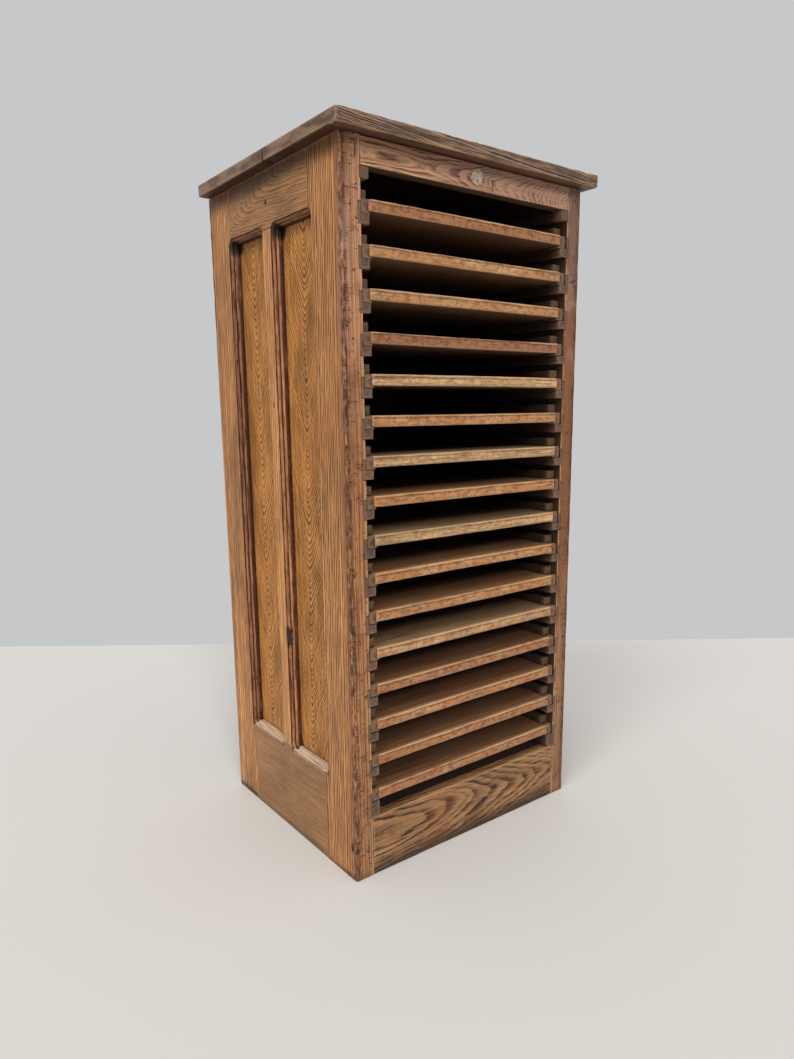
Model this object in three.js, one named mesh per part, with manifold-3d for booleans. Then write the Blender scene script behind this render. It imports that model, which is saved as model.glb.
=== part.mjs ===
// Oak cabinet for a print shop: sixteen flat trays that pull out on wooden runners,
// in a case of four posts with frame-and-panel sides, a boarded back and a two-board top.
// Millimetres, +Z up, front towards -Y.

import * as THREE from 'three';
import { mergeVertices } from 'three/addons/utils/BufferGeometryUtils.js';
import Module from 'manifold-3d';

const wasm = await Module();
wasm.setup();

// Case
const CASE_WIDTH = 530;
const CASE_DEPTH = 455;
const POST_WIDTH = 36;
const FRONT_POST_DEPTH = 90;
const REAR_POST_DEPTH = 86;
const MULLION_WIDTH = 44;
const SIDE_TOP_RAIL_HEIGHT = 93;
const SIDE_BOTTOM_RAIL_HEIGHT = 173;
const FRONT_TOP_RAIL_HEIGHT = 41;
const FRONT_BOTTOM_RAIL_HEIGHT = 110;
const CROSS_RAIL_THICKNESS = 22;

// Top
const TOP_THICKNESS = 21;
const TOP_OVERHANG_LEFT = 22;
const TOP_OVERHANG_RIGHT = 16;
const TOP_OVERHANG_FRONT = 27;
const TOP_SHORT_OF_BACK = 4;
const TOP_FRONT_BOARD_DEPTH = 218;
const TOP_SEAM = 0.6;
const TOP_CORNER_RADIUS = 5;
const TOP_EASING = 2.2;

// Side panels and the moulding run round them
const PANEL_RECESS = 19;
const PANEL_THICKNESS = 7;
const PANEL_TONGUE = 8;
const MOULDING_WIDTH = 7.5;
const MOULDING_DEPTH = 15;
const MOULDING_INNER_CORNER = 6;

// Joints and fits
const SEAT = 0.3;
const TENON_LENGTH = 24;
const TENON_THICKNESS = 8;
const TENON_SHOULDER = 9;
const OVERRUN = 4;
const POST_EASING = 2;
const RAIL_EASING = 1.2;

// Back and bottom
const BACK_THICKNESS = 10;
const BACK_REBATE = 10;
const BACK_BOARD_COUNT = 4;
const BACK_LAP = 8;
const BOTTOM_THICKNESS = 16;
const BOTTOM_BELOW_RAIL = 3;
const BOTTOM_TONGUE = 6;

// Runners
const TRAY_COUNT = 16;
const TRAY_PITCH = 63.5;
const RUNNER_LET_IN = 5.5;
const RUNNER_LEDGE_WIDTH = 15.5;
const RUNNER_LEDGE_HEIGHT = 15;
const LOWEST_LEDGE_HEIGHT = 26.7;
const RUNNER_FLANGE_RISE = 17;
const KICKER_HEIGHT = 17;
const KICKER_LET_IN = 1.5;

// Trays
const TRAY_SIDE_PLAY = 1.5;
const TRAY_REST_GAP = 0.3;
const TRAY_BACK_PLAY = 4;
const BOARD_THICKNESS = 18;
const BOARD_EASING = 1.2;
const BOARD_CORNER_CLIP = 4;
const CLEAT_WIDTH = 14;
const CLEAT_LIP = 3.6;
const CLEAT_SET_BACK = 3;
const RIM_WIDTH = 18.5;
const RIM_HEIGHT = 15.5;
const RIM_SET_BACK = 15;
const RIM_EASING = 1.4;

// Each tray stands a little more or less proud of the posts, as pushed home by hand
const TRAY_STAND_OUT = 2.4;
const TRAY_STAND_OUT_SHARES = [
  0.3, 0.7, 0.4, 0.1, 0.9, 0.2, 0.5, 0.8, 0.6, 0.3, 0.7, 1, 0.4, 0.2, 0.6, 0.1,
];

// Section of the moulding, from the face of the frame down to the panel:
// pairs of shares, of the moulding's width and of its depth
const MOULDING_SECTION_SHARES = [
  [1, 0.1], [0.86, 0.1], [0.66, 0.14], [0.5, 0.24], [0.42, 0.4],
  [0.42, 0.52], [0.5, 0.56], [0.32, 0.62], [0.18, 0.74], [0.14, 0.92], [0, 1],
];
const CORNER_STEPS = 4;

// Sizes and places that follow from the ones above
const FRONT = -CASE_DEPTH / 2;
const BACK = CASE_DEPTH / 2;
const FRONT_POST_EDGE = FRONT + FRONT_POST_DEPTH;
const REAR_POST_EDGE = BACK - REAR_POST_DEPTH;
const BACK_FACE = BACK - BACK_THICKNESS;
const SIDE_RAIL_THICKNESS = POST_WIDTH - RUNNER_LET_IN - SEAT;
const TOP_LEDGE = FRONT_BOTTOM_RAIL_HEIGHT + LOWEST_LEDGE_HEIGHT + TRAY_COUNT * TRAY_PITCH;
const OPENING_TOP = TOP_LEDGE - RUNNER_LEDGE_HEIGHT + KICKER_HEIGHT + SEAT;
const CASE_HEIGHT = OPENING_TOP + FRONT_TOP_RAIL_HEIGHT;
const SIDE_OPENING_TOP = CASE_HEIGHT - SIDE_TOP_RAIL_HEIGHT;
const MULLION_MIDDLE = (FRONT_POST_EDGE + REAR_POST_EDGE) / 2;
const OPENING_HALF_WIDTH = CASE_WIDTH / 2 - POST_WIDTH;
const TRAY_WIDTH = 2 * (OPENING_HALF_WIDTH - TRAY_SIDE_PLAY);
const TRAY_DEPTH = BACK_FACE - FRONT - TRAY_BACK_PLAY;
const BOARD_WIDTH = TRAY_WIDTH - 2 * CLEAT_WIDTH;
const BOARD_DEPTH = TRAY_DEPTH - CLEAT_WIDTH;

// Solids

// Turns a closed geometry into a solid that can be joined and cut.
function solidOf(geometry) {
  const bare = geometry.clone();
  bare.deleteAttribute('normal');
  bare.deleteAttribute('uv');
  const merged = mergeVertices(bare);
  const vertProperties = new Float32Array(merged.attributes.position.array);
  const triVerts = new Uint32Array(merged.index.array);
  return new wasm.Manifold(new wasm.Mesh({ numProp: 3, vertProperties, triVerts }));
}

// Turns a solid back into a geometry.
function geometryOf(solid) {
  const mesh = solid.getMesh();
  const geometry = new THREE.BufferGeometry();
  geometry.setAttribute('position', new THREE.BufferAttribute(new Float32Array(mesh.vertProperties), 3));
  geometry.setIndex(new THREE.BufferAttribute(new Uint32Array(mesh.triVerts), 1));
  geometry.computeVertexNormals();
  return geometry;
}

// Mirrors a geometry across the plane x = 0, keeping its faces turned outwards.
function mirrored(geometry) {
  const copy = geometry.clone().scale(-1, 1, 1);
  const index = copy.index.array;
  for (let i = 0; i < index.length; i += 3) {
    const swapped = index[i];
    index[i] = index[i + 1];
    index[i + 1] = swapped;
  }
  copy.computeVertexNormals();
  return copy;
}

function block(x, y, z) {
  const geometry = new THREE.BoxGeometry(x[1] - x[0], y[1] - y[0], z[1] - z[0]);
  return geometry.translate((x[0] + x[1]) / 2, (y[0] + y[1]) / 2, (z[0] + z[1]) / 2);
}

function blockSolid(x, y, z) {
  return solidOf(block(x, y, z));
}

function outline(points) {
  return new THREE.Shape(points.map(([u, v]) => new THREE.Vector2(u, v)));
}

// A plan outline raised from z[0] to z[1], with its upper and lower arrises eased.
function raised(points, z, easing = 0) {
  const geometry = new THREE.ExtrudeGeometry(outline(points), {
    depth: z[1] - z[0] - 2 * easing,
    bevelEnabled: easing > 0,
    bevelThickness: easing,
    bevelSize: easing,
    bevelOffset: -easing,
    bevelSegments: 1,
    curveSegments: CORNER_STEPS,
  });
  return geometry.translate(0, 0, z[0] + easing);
}

// A section in x and z run along y.
function runAlongY(points, y) {
  const geometry = new THREE.ExtrudeGeometry(outline(points), { depth: y[1] - y[0], bevelEnabled: false });
  return geometry.rotateX(Math.PI / 2).translate(0, y[1], 0);
}

// A section in y and z run along x.
function runAlongX(points, x) {
  const geometry = new THREE.ExtrudeGeometry(outline(points), { depth: x[1] - x[0], bevelEnabled: false });
  geometry.rotateY(Math.PI / 2).rotateX(Math.PI / 2);
  return geometry.translate(x[0], 0, 0);
}

// Corner points of a rectangle whose arrises are cut off at 45 degrees.
function easedRectangle(u, v, cut) {
  return [
    [u[0] + cut, v[0]], [u[1] - cut, v[0]], [u[1], v[0] + cut], [u[1], v[1] - cut],
    [u[1] - cut, v[1]], [u[0] + cut, v[1]], [u[0], v[1] - cut], [u[0], v[0] + cut],
  ];
}

// One ring of a rounded rectangle in the plane x = depth.
function roundedRing(depth, y, z, radius) {
  const ring = [];
  const centres = [
    [y[1] - radius, z[1] - radius, 0], [y[0] + radius, z[1] - radius, 1],
    [y[0] + radius, z[0] + radius, 2], [y[1] - radius, z[0] + radius, 3],
  ];
  for (const [cy, cz, quarter] of centres) {
    for (let step = 0; step <= CORNER_STEPS; step += 1) {
      const angle = (quarter + step / CORNER_STEPS) * Math.PI / 2;
      ring.push([depth, cy + radius * Math.cos(angle), cz + radius * Math.sin(angle)]);
    }
  }
  return ring;
}

// Closed skin through rings that all have the same number of points, with flat ends.
function loft(rings) {
  const points = rings.flat();
  const count = rings[0].length;
  const faces = [];
  for (let r = 0; r + 1 < rings.length; r += 1) {
    for (let i = 0; i < count; i += 1) {
      const a = r * count + i;
      const b = r * count + (i + 1) % count;
      faces.push(a, b, b + count, a, b + count, a + count);
    }
  }
  const last = (rings.length - 1) * count;
  for (let i = 1; i + 1 < count; i += 1) {
    faces.push(0, i + 1, i);
    faces.push(last, last + i, last + i + 1);
  }
  const geometry = new THREE.BufferGeometry();
  geometry.setAttribute('position', new THREE.Float32BufferAttribute(points.flat(), 3));
  geometry.setIndex(faces);
  return geometry;
}

// What the cutter takes away round one panel opening: x runs inwards from the outer face of the frame.
function mouldingCut(y, z) {
  const rings = [];
  const sections = [[1, -OVERRUN / MOULDING_DEPTH], ...MOULDING_SECTION_SHARES];
  for (const [widthShare, depthShare] of sections) {
    const spread = widthShare * MOULDING_WIDTH;
    const spreadY = [y[0] - spread, y[1] + spread];
    const spreadZ = [z[0] - spread, z[1] + spread];
    rings.push(roundedRing(depthShare * MOULDING_DEPTH, spreadY, spreadZ, MOULDING_INNER_CORNER + spread));
  }
  return solidOf(loft(rings));
}

// Side frame. In these functions x = 0 is the outer face and x grows towards the middle of the case.

const PANEL_OPENINGS = [
  [FRONT_POST_EDGE, MULLION_MIDDLE - MULLION_WIDTH / 2],
  [MULLION_MIDDLE + MULLION_WIDTH / 2, REAR_POST_EDGE],
];
const PANEL_OPENING_Z = [SIDE_BOTTOM_RAIL_HEIGHT, SIDE_OPENING_TOP];
const MOULDING_CUTS = PANEL_OPENINGS.map((y) => mouldingCut(y, PANEL_OPENING_Z));
const TENON_X = [PANEL_RECESS, PANEL_RECESS + TENON_THICKNESS];

// Widens a span by the same amount at both ends.
function widened(span, by) {
  return [span[0] - by, span[1] + by];
}

// Grooves that the panels' edges sit in, cut from whatever frames them.
function panelGrooves() {
  const x = [PANEL_RECESS - SEAT, PANEL_RECESS + PANEL_THICKNESS + SEAT];
  const z = widened(PANEL_OPENING_Z, PANEL_TONGUE + SEAT);
  return PANEL_OPENINGS.map((y) => blockSolid(x, widened(y, PANEL_TONGUE + SEAT), z));
}

function cutAll(solid, cuts) {
  return cuts.reduce((left, cut) => left.subtract(cut), solid);
}

// Spans in z of the side rails' tenons.
const SIDE_TENONS_Z = [
  [TENON_SHOULDER, SIDE_BOTTOM_RAIL_HEIGHT - TENON_SHOULDER - PANEL_TONGUE],
  [SIDE_OPENING_TOP + TENON_SHOULDER + PANEL_TONGUE, CASE_HEIGHT - TENON_SHOULDER],
];
const CROSS_TENONS_Z = [
  [TENON_SHOULDER, FRONT_BOTTOM_RAIL_HEIGHT - TENON_SHOULDER],
  [OPENING_TOP + TENON_SHOULDER, CASE_HEIGHT - TENON_SHOULDER],
];
const FRONT_TENON_Y = [
  FRONT + (CROSS_RAIL_THICKNESS - TENON_THICKNESS) / 2,
  FRONT + (CROSS_RAIL_THICKNESS + TENON_THICKNESS) / 2,
];
const BACK_TENON_Y = [
  BACK_FACE - (CROSS_RAIL_THICKNESS + TENON_THICKNESS) / 2,
  BACK_FACE - (CROSS_RAIL_THICKNESS - TENON_THICKNESS) / 2,
];

// Mortises in a post for the side rails, which come in from the panel side.
function sideMortises(y) {
  return SIDE_TENONS_Z.map((z) => blockSolid(widened(TENON_X, SEAT), y, widened(z, SEAT)));
}

// Mortises in a post for the cross rails, which come in from the middle of the case.
function crossMortises(y) {
  const x = [POST_WIDTH - TENON_LENGTH - SEAT, POST_WIDTH + OVERRUN];
  return CROSS_TENONS_Z.map((z) => blockSolid(x, widened(y, SEAT), widened(z, SEAT)));
}

// Height of the top of a runner's ledge: runner n carries tray n, and runner 0 is the plain
// one under the top rail, which keeps the uppermost tray from tipping.
function ledgeTop(number) {
  return TOP_LEDGE - TRAY_PITCH * number;
}

// Section of a runner in x and z, optionally grown by a fit on every side.
function runnerSection(number, fit = 0) {
  const top = ledgeTop(number);
  const inner = POST_WIDTH + RUNNER_LEDGE_WIDTH;
  if (number === 0) {
    const kickerOuter = POST_WIDTH - KICKER_LET_IN - fit;
    const kickerLow = top - RUNNER_LEDGE_HEIGHT;
    const kickerZ = widened([kickerLow, kickerLow + KICKER_HEIGHT], fit);
    return [[kickerOuter, kickerZ[0]], [inner, kickerZ[0]], [inner, kickerZ[1]], [kickerOuter, kickerZ[1]]];
  }
  const lowest = FRONT_BOTTOM_RAIL_HEIGHT + SEAT;
  const low = (number === TRAY_COUNT ? lowest : top - RUNNER_LEDGE_HEIGHT) - fit;
  const outer = POST_WIDTH - RUNNER_LET_IN - fit;
  const flangeTop = top + RUNNER_FLANGE_RISE + fit;
  const flangeInner = POST_WIDTH + fit;
  const ledge = [[outer, low], [inner, low], [inner, top]];
  const flange = [[flangeInner, top], [flangeInner, flangeTop], [outer, flangeTop]];
  return [...ledge, ...flange];
}

// A post carries every second runner as one with it, and is notched for the others.
function withRunners(post, firstCarried) {
  const runnerY = [FRONT, BACK_FACE - SEAT];
  let solid = post;
  for (let number = 0; number <= TRAY_COUNT; number += 1) {
    const carried = number % 2 === firstCarried;
    if (carried) {
      solid = solid.add(solidOf(runAlongY(runnerSection(number), runnerY)));
    } else {
      const notch = runAlongY(runnerSection(number, SEAT), [FRONT - OVERRUN, BACK_FACE]);
      solid = solid.subtract(solidOf(notch));
    }
  }
  return solid;
}

function frontPost() {
  const section = [
    [POST_EASING, FRONT], [POST_WIDTH, FRONT], [POST_WIDTH, FRONT_POST_EDGE],
    [0, FRONT_POST_EDGE], [0, FRONT + POST_EASING],
  ];
  const mortiseY = [FRONT_POST_EDGE - TENON_LENGTH - SEAT, FRONT_POST_EDGE + OVERRUN];
  const blank = solidOf(raised(section, [0, CASE_HEIGHT]));
  const cut = cutAll(blank, [
    ...MOULDING_CUTS, ...panelGrooves(), ...sideMortises(mortiseY), ...crossMortises(FRONT_TENON_Y),
  ]);
  return geometryOf(withRunners(cut, 0));
}

function rearPost() {
  const rebateX = POST_WIDTH - BACK_REBATE;
  const section = [
    [0, REAR_POST_EDGE], [POST_WIDTH, REAR_POST_EDGE], [POST_WIDTH, BACK_FACE],
    [rebateX, BACK_FACE], [rebateX, BACK], [POST_EASING, BACK], [0, BACK - POST_EASING],
  ];
  const mortiseY = [REAR_POST_EDGE - OVERRUN, REAR_POST_EDGE + TENON_LENGTH + SEAT];
  const blank = solidOf(raised(section, [0, CASE_HEIGHT]));
  const cut = cutAll(blank, [
    ...MOULDING_CUTS, ...panelGrooves(), ...sideMortises(mortiseY), ...crossMortises(BACK_TENON_Y),
  ]);
  return geometryOf(withRunners(cut, 1));
}

const SIDE_RAIL_Y = [FRONT_POST_EDGE + SEAT, REAR_POST_EDGE - SEAT];
const MULLION_Y = [MULLION_MIDDLE - MULLION_WIDTH / 2, MULLION_MIDDLE + MULLION_WIDTH / 2];
const MULLION_TENON_Y = widened(MULLION_Y, -TENON_SHOULDER);

// Sockets in the side rails for the mullion's tenons.
function mullionMortise(z) {
  return blockSolid(widened(TENON_X, SEAT), widened(MULLION_TENON_Y, SEAT), z);
}

function sideRail(z, tenonZ, mortiseZ) {
  const body = blockSolid([0, SIDE_RAIL_THICKNESS], SIDE_RAIL_Y, z);
  const tenons = blockSolid(TENON_X, widened(SIDE_RAIL_Y, TENON_LENGTH - SEAT), tenonZ);
  const cuts = [...MOULDING_CUTS, ...panelGrooves(), mullionMortise(mortiseZ)];
  return geometryOf(cutAll(body.add(tenons), cuts));
}

function sideBottomRail() {
  const top = SIDE_BOTTOM_RAIL_HEIGHT;
  return sideRail([0, top], SIDE_TENONS_Z[0], [top - TENON_LENGTH - SEAT, top + OVERRUN]);
}

function sideTopRail() {
  const low = SIDE_OPENING_TOP;
  return sideRail([low, CASE_HEIGHT], SIDE_TENONS_Z[1], [low - OVERRUN, low + TENON_LENGTH + SEAT]);
}

function mullion() {
  const z = widened(PANEL_OPENING_Z, -SEAT);
  const body = blockSolid([0, SIDE_RAIL_THICKNESS], MULLION_Y, z);
  const tenons = blockSolid(TENON_X, MULLION_TENON_Y, widened(z, TENON_LENGTH));
  return geometryOf(cutAll(body.add(tenons), [...MOULDING_CUTS, ...panelGrooves()]));
}

function sidePanel(opening) {
  const y = widened(opening, PANEL_TONGUE);
  const z = widened(PANEL_OPENING_Z, PANEL_TONGUE);
  return block([PANEL_RECESS, PANEL_RECESS + PANEL_THICKNESS], y, z);
}

// Rails between the posts, across the front and the back

const CROSS_RAIL_X = widened([-OPENING_HALF_WIDTH, OPENING_HALF_WIDTH], -SEAT);
const BOTTOM_Z = [
  FRONT_BOTTOM_RAIL_HEIGHT - BOTTOM_BELOW_RAIL - BOTTOM_THICKNESS,
  FRONT_BOTTOM_RAIL_HEIGHT - BOTTOM_BELOW_RAIL,
];

function crossRail(y, z, tenonY, tenonZ) {
  const body = solidOf(runAlongX(easedRectangle(y, z, RAIL_EASING), CROSS_RAIL_X));
  const tenons = blockSolid(widened(CROSS_RAIL_X, TENON_LENGTH - SEAT), tenonY, tenonZ);
  return body.add(tenons);
}

function topCrossRail(y, tenonY) {
  return geometryOf(crossRail(y, [OPENING_TOP, CASE_HEIGHT], tenonY, CROSS_TENONS_Z[1]));
}

// A bottom rail is grooved for the bottom board, on its inner face at y = innerFace.
function bottomCrossRail(y, tenonY, innerFace, inwards) {
  const rail = crossRail(y, [0, FRONT_BOTTOM_RAIL_HEIGHT], tenonY, CROSS_TENONS_Z[0]);
  const ends = [innerFace - inwards * (BOTTOM_TONGUE + SEAT), innerFace + inwards * OVERRUN];
  const grooveY = [Math.min(...ends), Math.max(...ends)];
  const groove = blockSolid(widened(CROSS_RAIL_X, OVERRUN), grooveY, widened(BOTTOM_Z, SEAT));
  return geometryOf(rail.subtract(groove));
}

const FRONT_RAIL_Y = [FRONT, FRONT + CROSS_RAIL_THICKNESS];
const BACK_RAIL_Y = [BACK_FACE - CROSS_RAIL_THICKNESS, BACK_FACE - SEAT];

function bottomBoard() {
  const y = widened([FRONT_RAIL_Y[1], BACK_RAIL_Y[0]], BOTTOM_TONGUE);
  return block(CROSS_RAIL_X, y, BOTTOM_Z);
}

// Back boards: upright, each half-lapped over its neighbour

const BACK_HALF_WIDTH = CASE_WIDTH / 2 - POST_WIDTH + BACK_REBATE - SEAT;
const BACK_BOARD_WIDTH = 2 * BACK_HALF_WIDTH / BACK_BOARD_COUNT;

function backBoard(number) {
  const left = -BACK_HALF_WIDTH + number * BACK_BOARD_WIDTH;
  const right = left + BACK_BOARD_WIDTH;
  const middle = (BACK_FACE + BACK) / 2;
  const lapLeft = number > 0 ? BACK_LAP : 0;
  const lapRight = number + 1 < BACK_BOARD_COUNT ? SEAT : 0;
  const backRight = number + 1 < BACK_BOARD_COUNT ? right - BACK_LAP - SEAT : right;
  const section = [[left, BACK_FACE], [right - lapRight, BACK_FACE]];
  if (lapRight > 0) {
    section.push([right - lapRight, middle - SEAT / 2], [backRight, middle - SEAT / 2]);
  }
  section.push([backRight, BACK]);
  if (lapLeft > 0) {
    section.push([left - lapLeft, BACK], [left - lapLeft, middle + SEAT / 2], [left, middle + SEAT / 2]);
  } else {
    section.push([left, BACK]);
  }
  return raised(section, [0, CASE_HEIGHT]);
}

// Top

// A top board's plan, with rounded corners on its free edge (front or back).
function topBoard(y, roundedAtFront) {
  const x = [-CASE_WIDTH / 2 - TOP_OVERHANG_LEFT, CASE_WIDTH / 2 + TOP_OVERHANG_RIGHT];
  const r = TOP_CORNER_RADIUS;
  const free = roundedAtFront ? y[0] : y[1];
  const seam = roundedAtFront ? y[1] : y[0];
  const inwards = roundedAtFront ? r : -r;
  const points = [[x[0], seam], [x[0], free + inwards]];
  for (let step = 1; step <= CORNER_STEPS; step += 1) {
    const turn = (step / CORNER_STEPS) * Math.PI / 2;
    points.push([x[0] + r - r * Math.cos(turn), free + inwards - inwards * Math.sin(turn)]);
  }
  for (let step = 0; step < CORNER_STEPS; step += 1) {
    const turn = (step / CORNER_STEPS) * Math.PI / 2;
    points.push([x[1] - r + r * Math.sin(turn), free + inwards - inwards * Math.cos(turn)]);
  }
  points.push([x[1], free + inwards], [x[1], seam]);
  return raised(points, [CASE_HEIGHT, CASE_HEIGHT + TOP_THICKNESS], TOP_EASING);
}

const TOP_Y = [FRONT - TOP_OVERHANG_FRONT, BACK - TOP_SHORT_OF_BACK];
const TOP_SEAM_Y = TOP_Y[0] + TOP_FRONT_BOARD_DEPTH;

// Trays. In these functions y = 0 is the board's front edge and z = 0 the underside of the cleats.

const BOARD_Z = [CLEAT_LIP, CLEAT_LIP + BOARD_THICKNESS];

function trayBoard() {
  const half = BOARD_WIDTH / 2;
  const clip = BOARD_CORNER_CLIP;
  const plan = [
    [-half + clip, 0], [half - clip, 0], [half, clip],
    [half, BOARD_DEPTH], [-half, BOARD_DEPTH], [-half, clip],
  ];
  return raised(plan, BOARD_Z, BOARD_EASING);
}

// Cleats and rims of one tray: a low fence on three sides, grooved for the board's edges.
function trayEdging() {
  const outer = TRAY_WIDTH / 2;
  const inner = outer - RIM_WIDTH;
  const plan = [
    [-outer, CLEAT_SET_BACK], [-inner, CLEAT_SET_BACK], [-inner, TRAY_DEPTH - RIM_WIDTH],
    [inner, TRAY_DEPTH - RIM_WIDTH], [inner, CLEAT_SET_BACK], [outer, CLEAT_SET_BACK],
    [outer, TRAY_DEPTH], [-outer, TRAY_DEPTH],
  ];
  const fence = solidOf(raised(plan, [0, BOARD_Z[1] + RIM_HEIGHT], RIM_EASING));
  const boardX = widened([-BOARD_WIDTH / 2, BOARD_WIDTH / 2], SEAT);
  const groove = blockSolid(boardX, [-OVERRUN, BOARD_DEPTH + SEAT], widened(BOARD_Z, SEAT));
  const aboveCleats = [BOARD_Z[1], BOARD_Z[1] + RIM_HEIGHT + OVERRUN];
  const setBack = blockSolid(widened([-outer, outer], OVERRUN), [-OVERRUN, RIM_SET_BACK], aboveCleats);
  return geometryOf(cutAll(fence, [groove, setBack]));
}

// Finishes

function oak(color, roughness) {
  return new THREE.MeshStandardMaterial({ color, roughness, metalness: 0 });
}

const FINISH = {
  top: () => oak(0x7d5230, 0.55),
  post: () => oak(0xa97446, 0.55),
  rail: () => oak(0x9c6a3e, 0.55),
  panel: () => oak(0xa1763f, 0.55),
  inside: () => oak(0x6b4c35, 0.75),
  trayBoard: () => oak(0xbf8a58, 0.7),
  trayEdging: () => oak(0x6f5546, 0.75),
};

function piece(name, geometry, finish) {
  const mesh = new THREE.Mesh(geometry, FINISH[finish]());
  mesh.name = name;
  return mesh;
}

// Assembly

function sideFrame(side) {
  const frame = new THREE.Group();
  const turned = (geometry) => (side === 'right' ? mirrored(geometry) : geometry);
  frame.add(piece(`${side}_front_post`, turned(frontPost()), 'post'));
  frame.add(piece(`${side}_rear_post`, turned(rearPost()), 'post'));
  frame.add(piece(`${side}_top_rail`, turned(sideTopRail()), 'rail'));
  frame.add(piece(`${side}_bottom_rail`, turned(sideBottomRail()), 'rail'));
  frame.add(piece(`${side}_mullion`, turned(mullion()), 'rail'));
  frame.add(piece(`${side}_front_panel`, turned(sidePanel(PANEL_OPENINGS[0])), 'panel'));
  frame.add(piece(`${side}_rear_panel`, turned(sidePanel(PANEL_OPENINGS[1])), 'panel'));
  frame.position.x = (side === 'right' ? CASE_WIDTH : -CASE_WIDTH) / 2;
  return frame;
}

function tray(number) {
  const label = `tray_${String(number).padStart(2, '0')}`;
  const group = new THREE.Group();
  group.add(piece(`${label}_board`, trayBoard(), 'trayBoard'));
  group.add(piece(`${label}_edging`, trayEdging(), 'trayEdging'));
  const standOut = TRAY_STAND_OUT * TRAY_STAND_OUT_SHARES[(number - 1) % TRAY_STAND_OUT_SHARES.length];
  group.position.set(0, FRONT - standOut, ledgeTop(number) + TRAY_REST_GAP);
  return group;
}

const frontBottomRail = bottomCrossRail(FRONT_RAIL_Y, FRONT_TENON_Y, FRONT_RAIL_Y[1], 1);
const backBottomRail = bottomCrossRail(BACK_RAIL_Y, BACK_TENON_Y, BACK_RAIL_Y[0], -1);
const cabinet = new THREE.Group();

cabinet.add(sideFrame('left'));
cabinet.add(sideFrame('right'));
cabinet.add(piece('front_top_rail', topCrossRail(FRONT_RAIL_Y, FRONT_TENON_Y), 'rail'));
cabinet.add(piece('front_bottom_rail', frontBottomRail, 'rail'));
cabinet.add(piece('back_top_rail', topCrossRail(BACK_RAIL_Y, BACK_TENON_Y), 'inside'));
cabinet.add(piece('back_bottom_rail', backBottomRail, 'inside'));
cabinet.add(piece('bottom_board', bottomBoard(), 'inside'));
for (let number = 0; number < BACK_BOARD_COUNT; number += 1) {
  cabinet.add(piece(`back_board_${number + 1}`, backBoard(number), 'inside'));
}
cabinet.add(piece('top_front_board', topBoard([TOP_Y[0], TOP_SEAM_Y - TOP_SEAM / 2], true), 'top'));
cabinet.add(piece('top_rear_board', topBoard([TOP_SEAM_Y + TOP_SEAM / 2, TOP_Y[1]], false), 'top'));
for (let number = 1; number <= TRAY_COUNT; number += 1) {
  cabinet.add(tray(number));
}

// The origin is on the floor, under the middle of the whole part, trays and overhangs included.
const REACH_FRONT = Math.max(TOP_OVERHANG_FRONT, TRAY_STAND_OUT);
cabinet.position.x = (TOP_OVERHANG_LEFT - TOP_OVERHANG_RIGHT) / 2;
cabinet.position.y = REACH_FRONT / 2;

export default cabinet;
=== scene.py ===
"""Looks of an old oak cabinet for a print shop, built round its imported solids.

Metres, +Z up, front towards -Y. Every piece of timber is worked as a board: it gets its shape,
its eased and worn arrises, and its own place in a log, from which the finish reads the grain.
"""

import math
from types import SimpleNamespace
from typing import NamedTuple

import bmesh
import bpy
from bpy.props import FloatProperty, FloatVectorProperty, PointerProperty
from mathutils import Matrix, Vector, noise


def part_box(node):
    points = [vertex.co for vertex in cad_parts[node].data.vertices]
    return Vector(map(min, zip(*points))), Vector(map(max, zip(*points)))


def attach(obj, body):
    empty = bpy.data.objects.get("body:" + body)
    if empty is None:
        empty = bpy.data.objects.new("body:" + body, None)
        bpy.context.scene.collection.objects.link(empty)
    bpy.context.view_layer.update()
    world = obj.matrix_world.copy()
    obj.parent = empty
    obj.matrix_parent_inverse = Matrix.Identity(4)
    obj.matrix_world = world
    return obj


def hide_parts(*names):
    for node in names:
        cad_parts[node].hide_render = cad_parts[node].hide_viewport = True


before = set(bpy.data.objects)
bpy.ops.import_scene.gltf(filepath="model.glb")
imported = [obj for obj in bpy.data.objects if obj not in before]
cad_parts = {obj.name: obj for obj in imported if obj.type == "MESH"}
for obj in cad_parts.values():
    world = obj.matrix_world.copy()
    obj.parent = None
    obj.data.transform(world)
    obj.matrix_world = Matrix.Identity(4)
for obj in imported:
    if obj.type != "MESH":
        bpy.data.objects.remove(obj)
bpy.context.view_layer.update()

bl_info = {
    "name": "Printers cabinet",
    "version": (1, 0, 0),
    "blender": (4, 5, 0),
    "location": "3D View > Sidebar > Cabinet",
    "description": "Dresses the solids of an old oak tray cabinet with worked and worn timber",
    "category": "Object",
}

MM = 0.001
X, Y, Z = 0, 1, 2
SIDES = ("left", "right")
TRAYS = range(1, 17)


def srgb(red, green, blue):
    """A colour as it is seen, 0 to 255, turned into the linear numbers that shaders take."""
    shares = [value / 255 for value in (red, green, blue)]
    return tuple(s / 12.92 if s <= 0.04045 else ((s + 0.055) / 1.055) ** 2.4 for s in shares)


def size(name, description, millimetres):
    """A size that a user can change."""
    return FloatProperty(
        name=name, description=description, default=millimetres * MM, unit="LENGTH", precision=5
    )


def colour(name, description, red, green, blue):
    """A colour that a user can change."""
    return FloatVectorProperty(
        name=name, description=description, default=srgb(red, green, blue),
        subtype="COLOR", size=3, min=0, max=1,
    )


# Sizes and colours that a user would change


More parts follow.
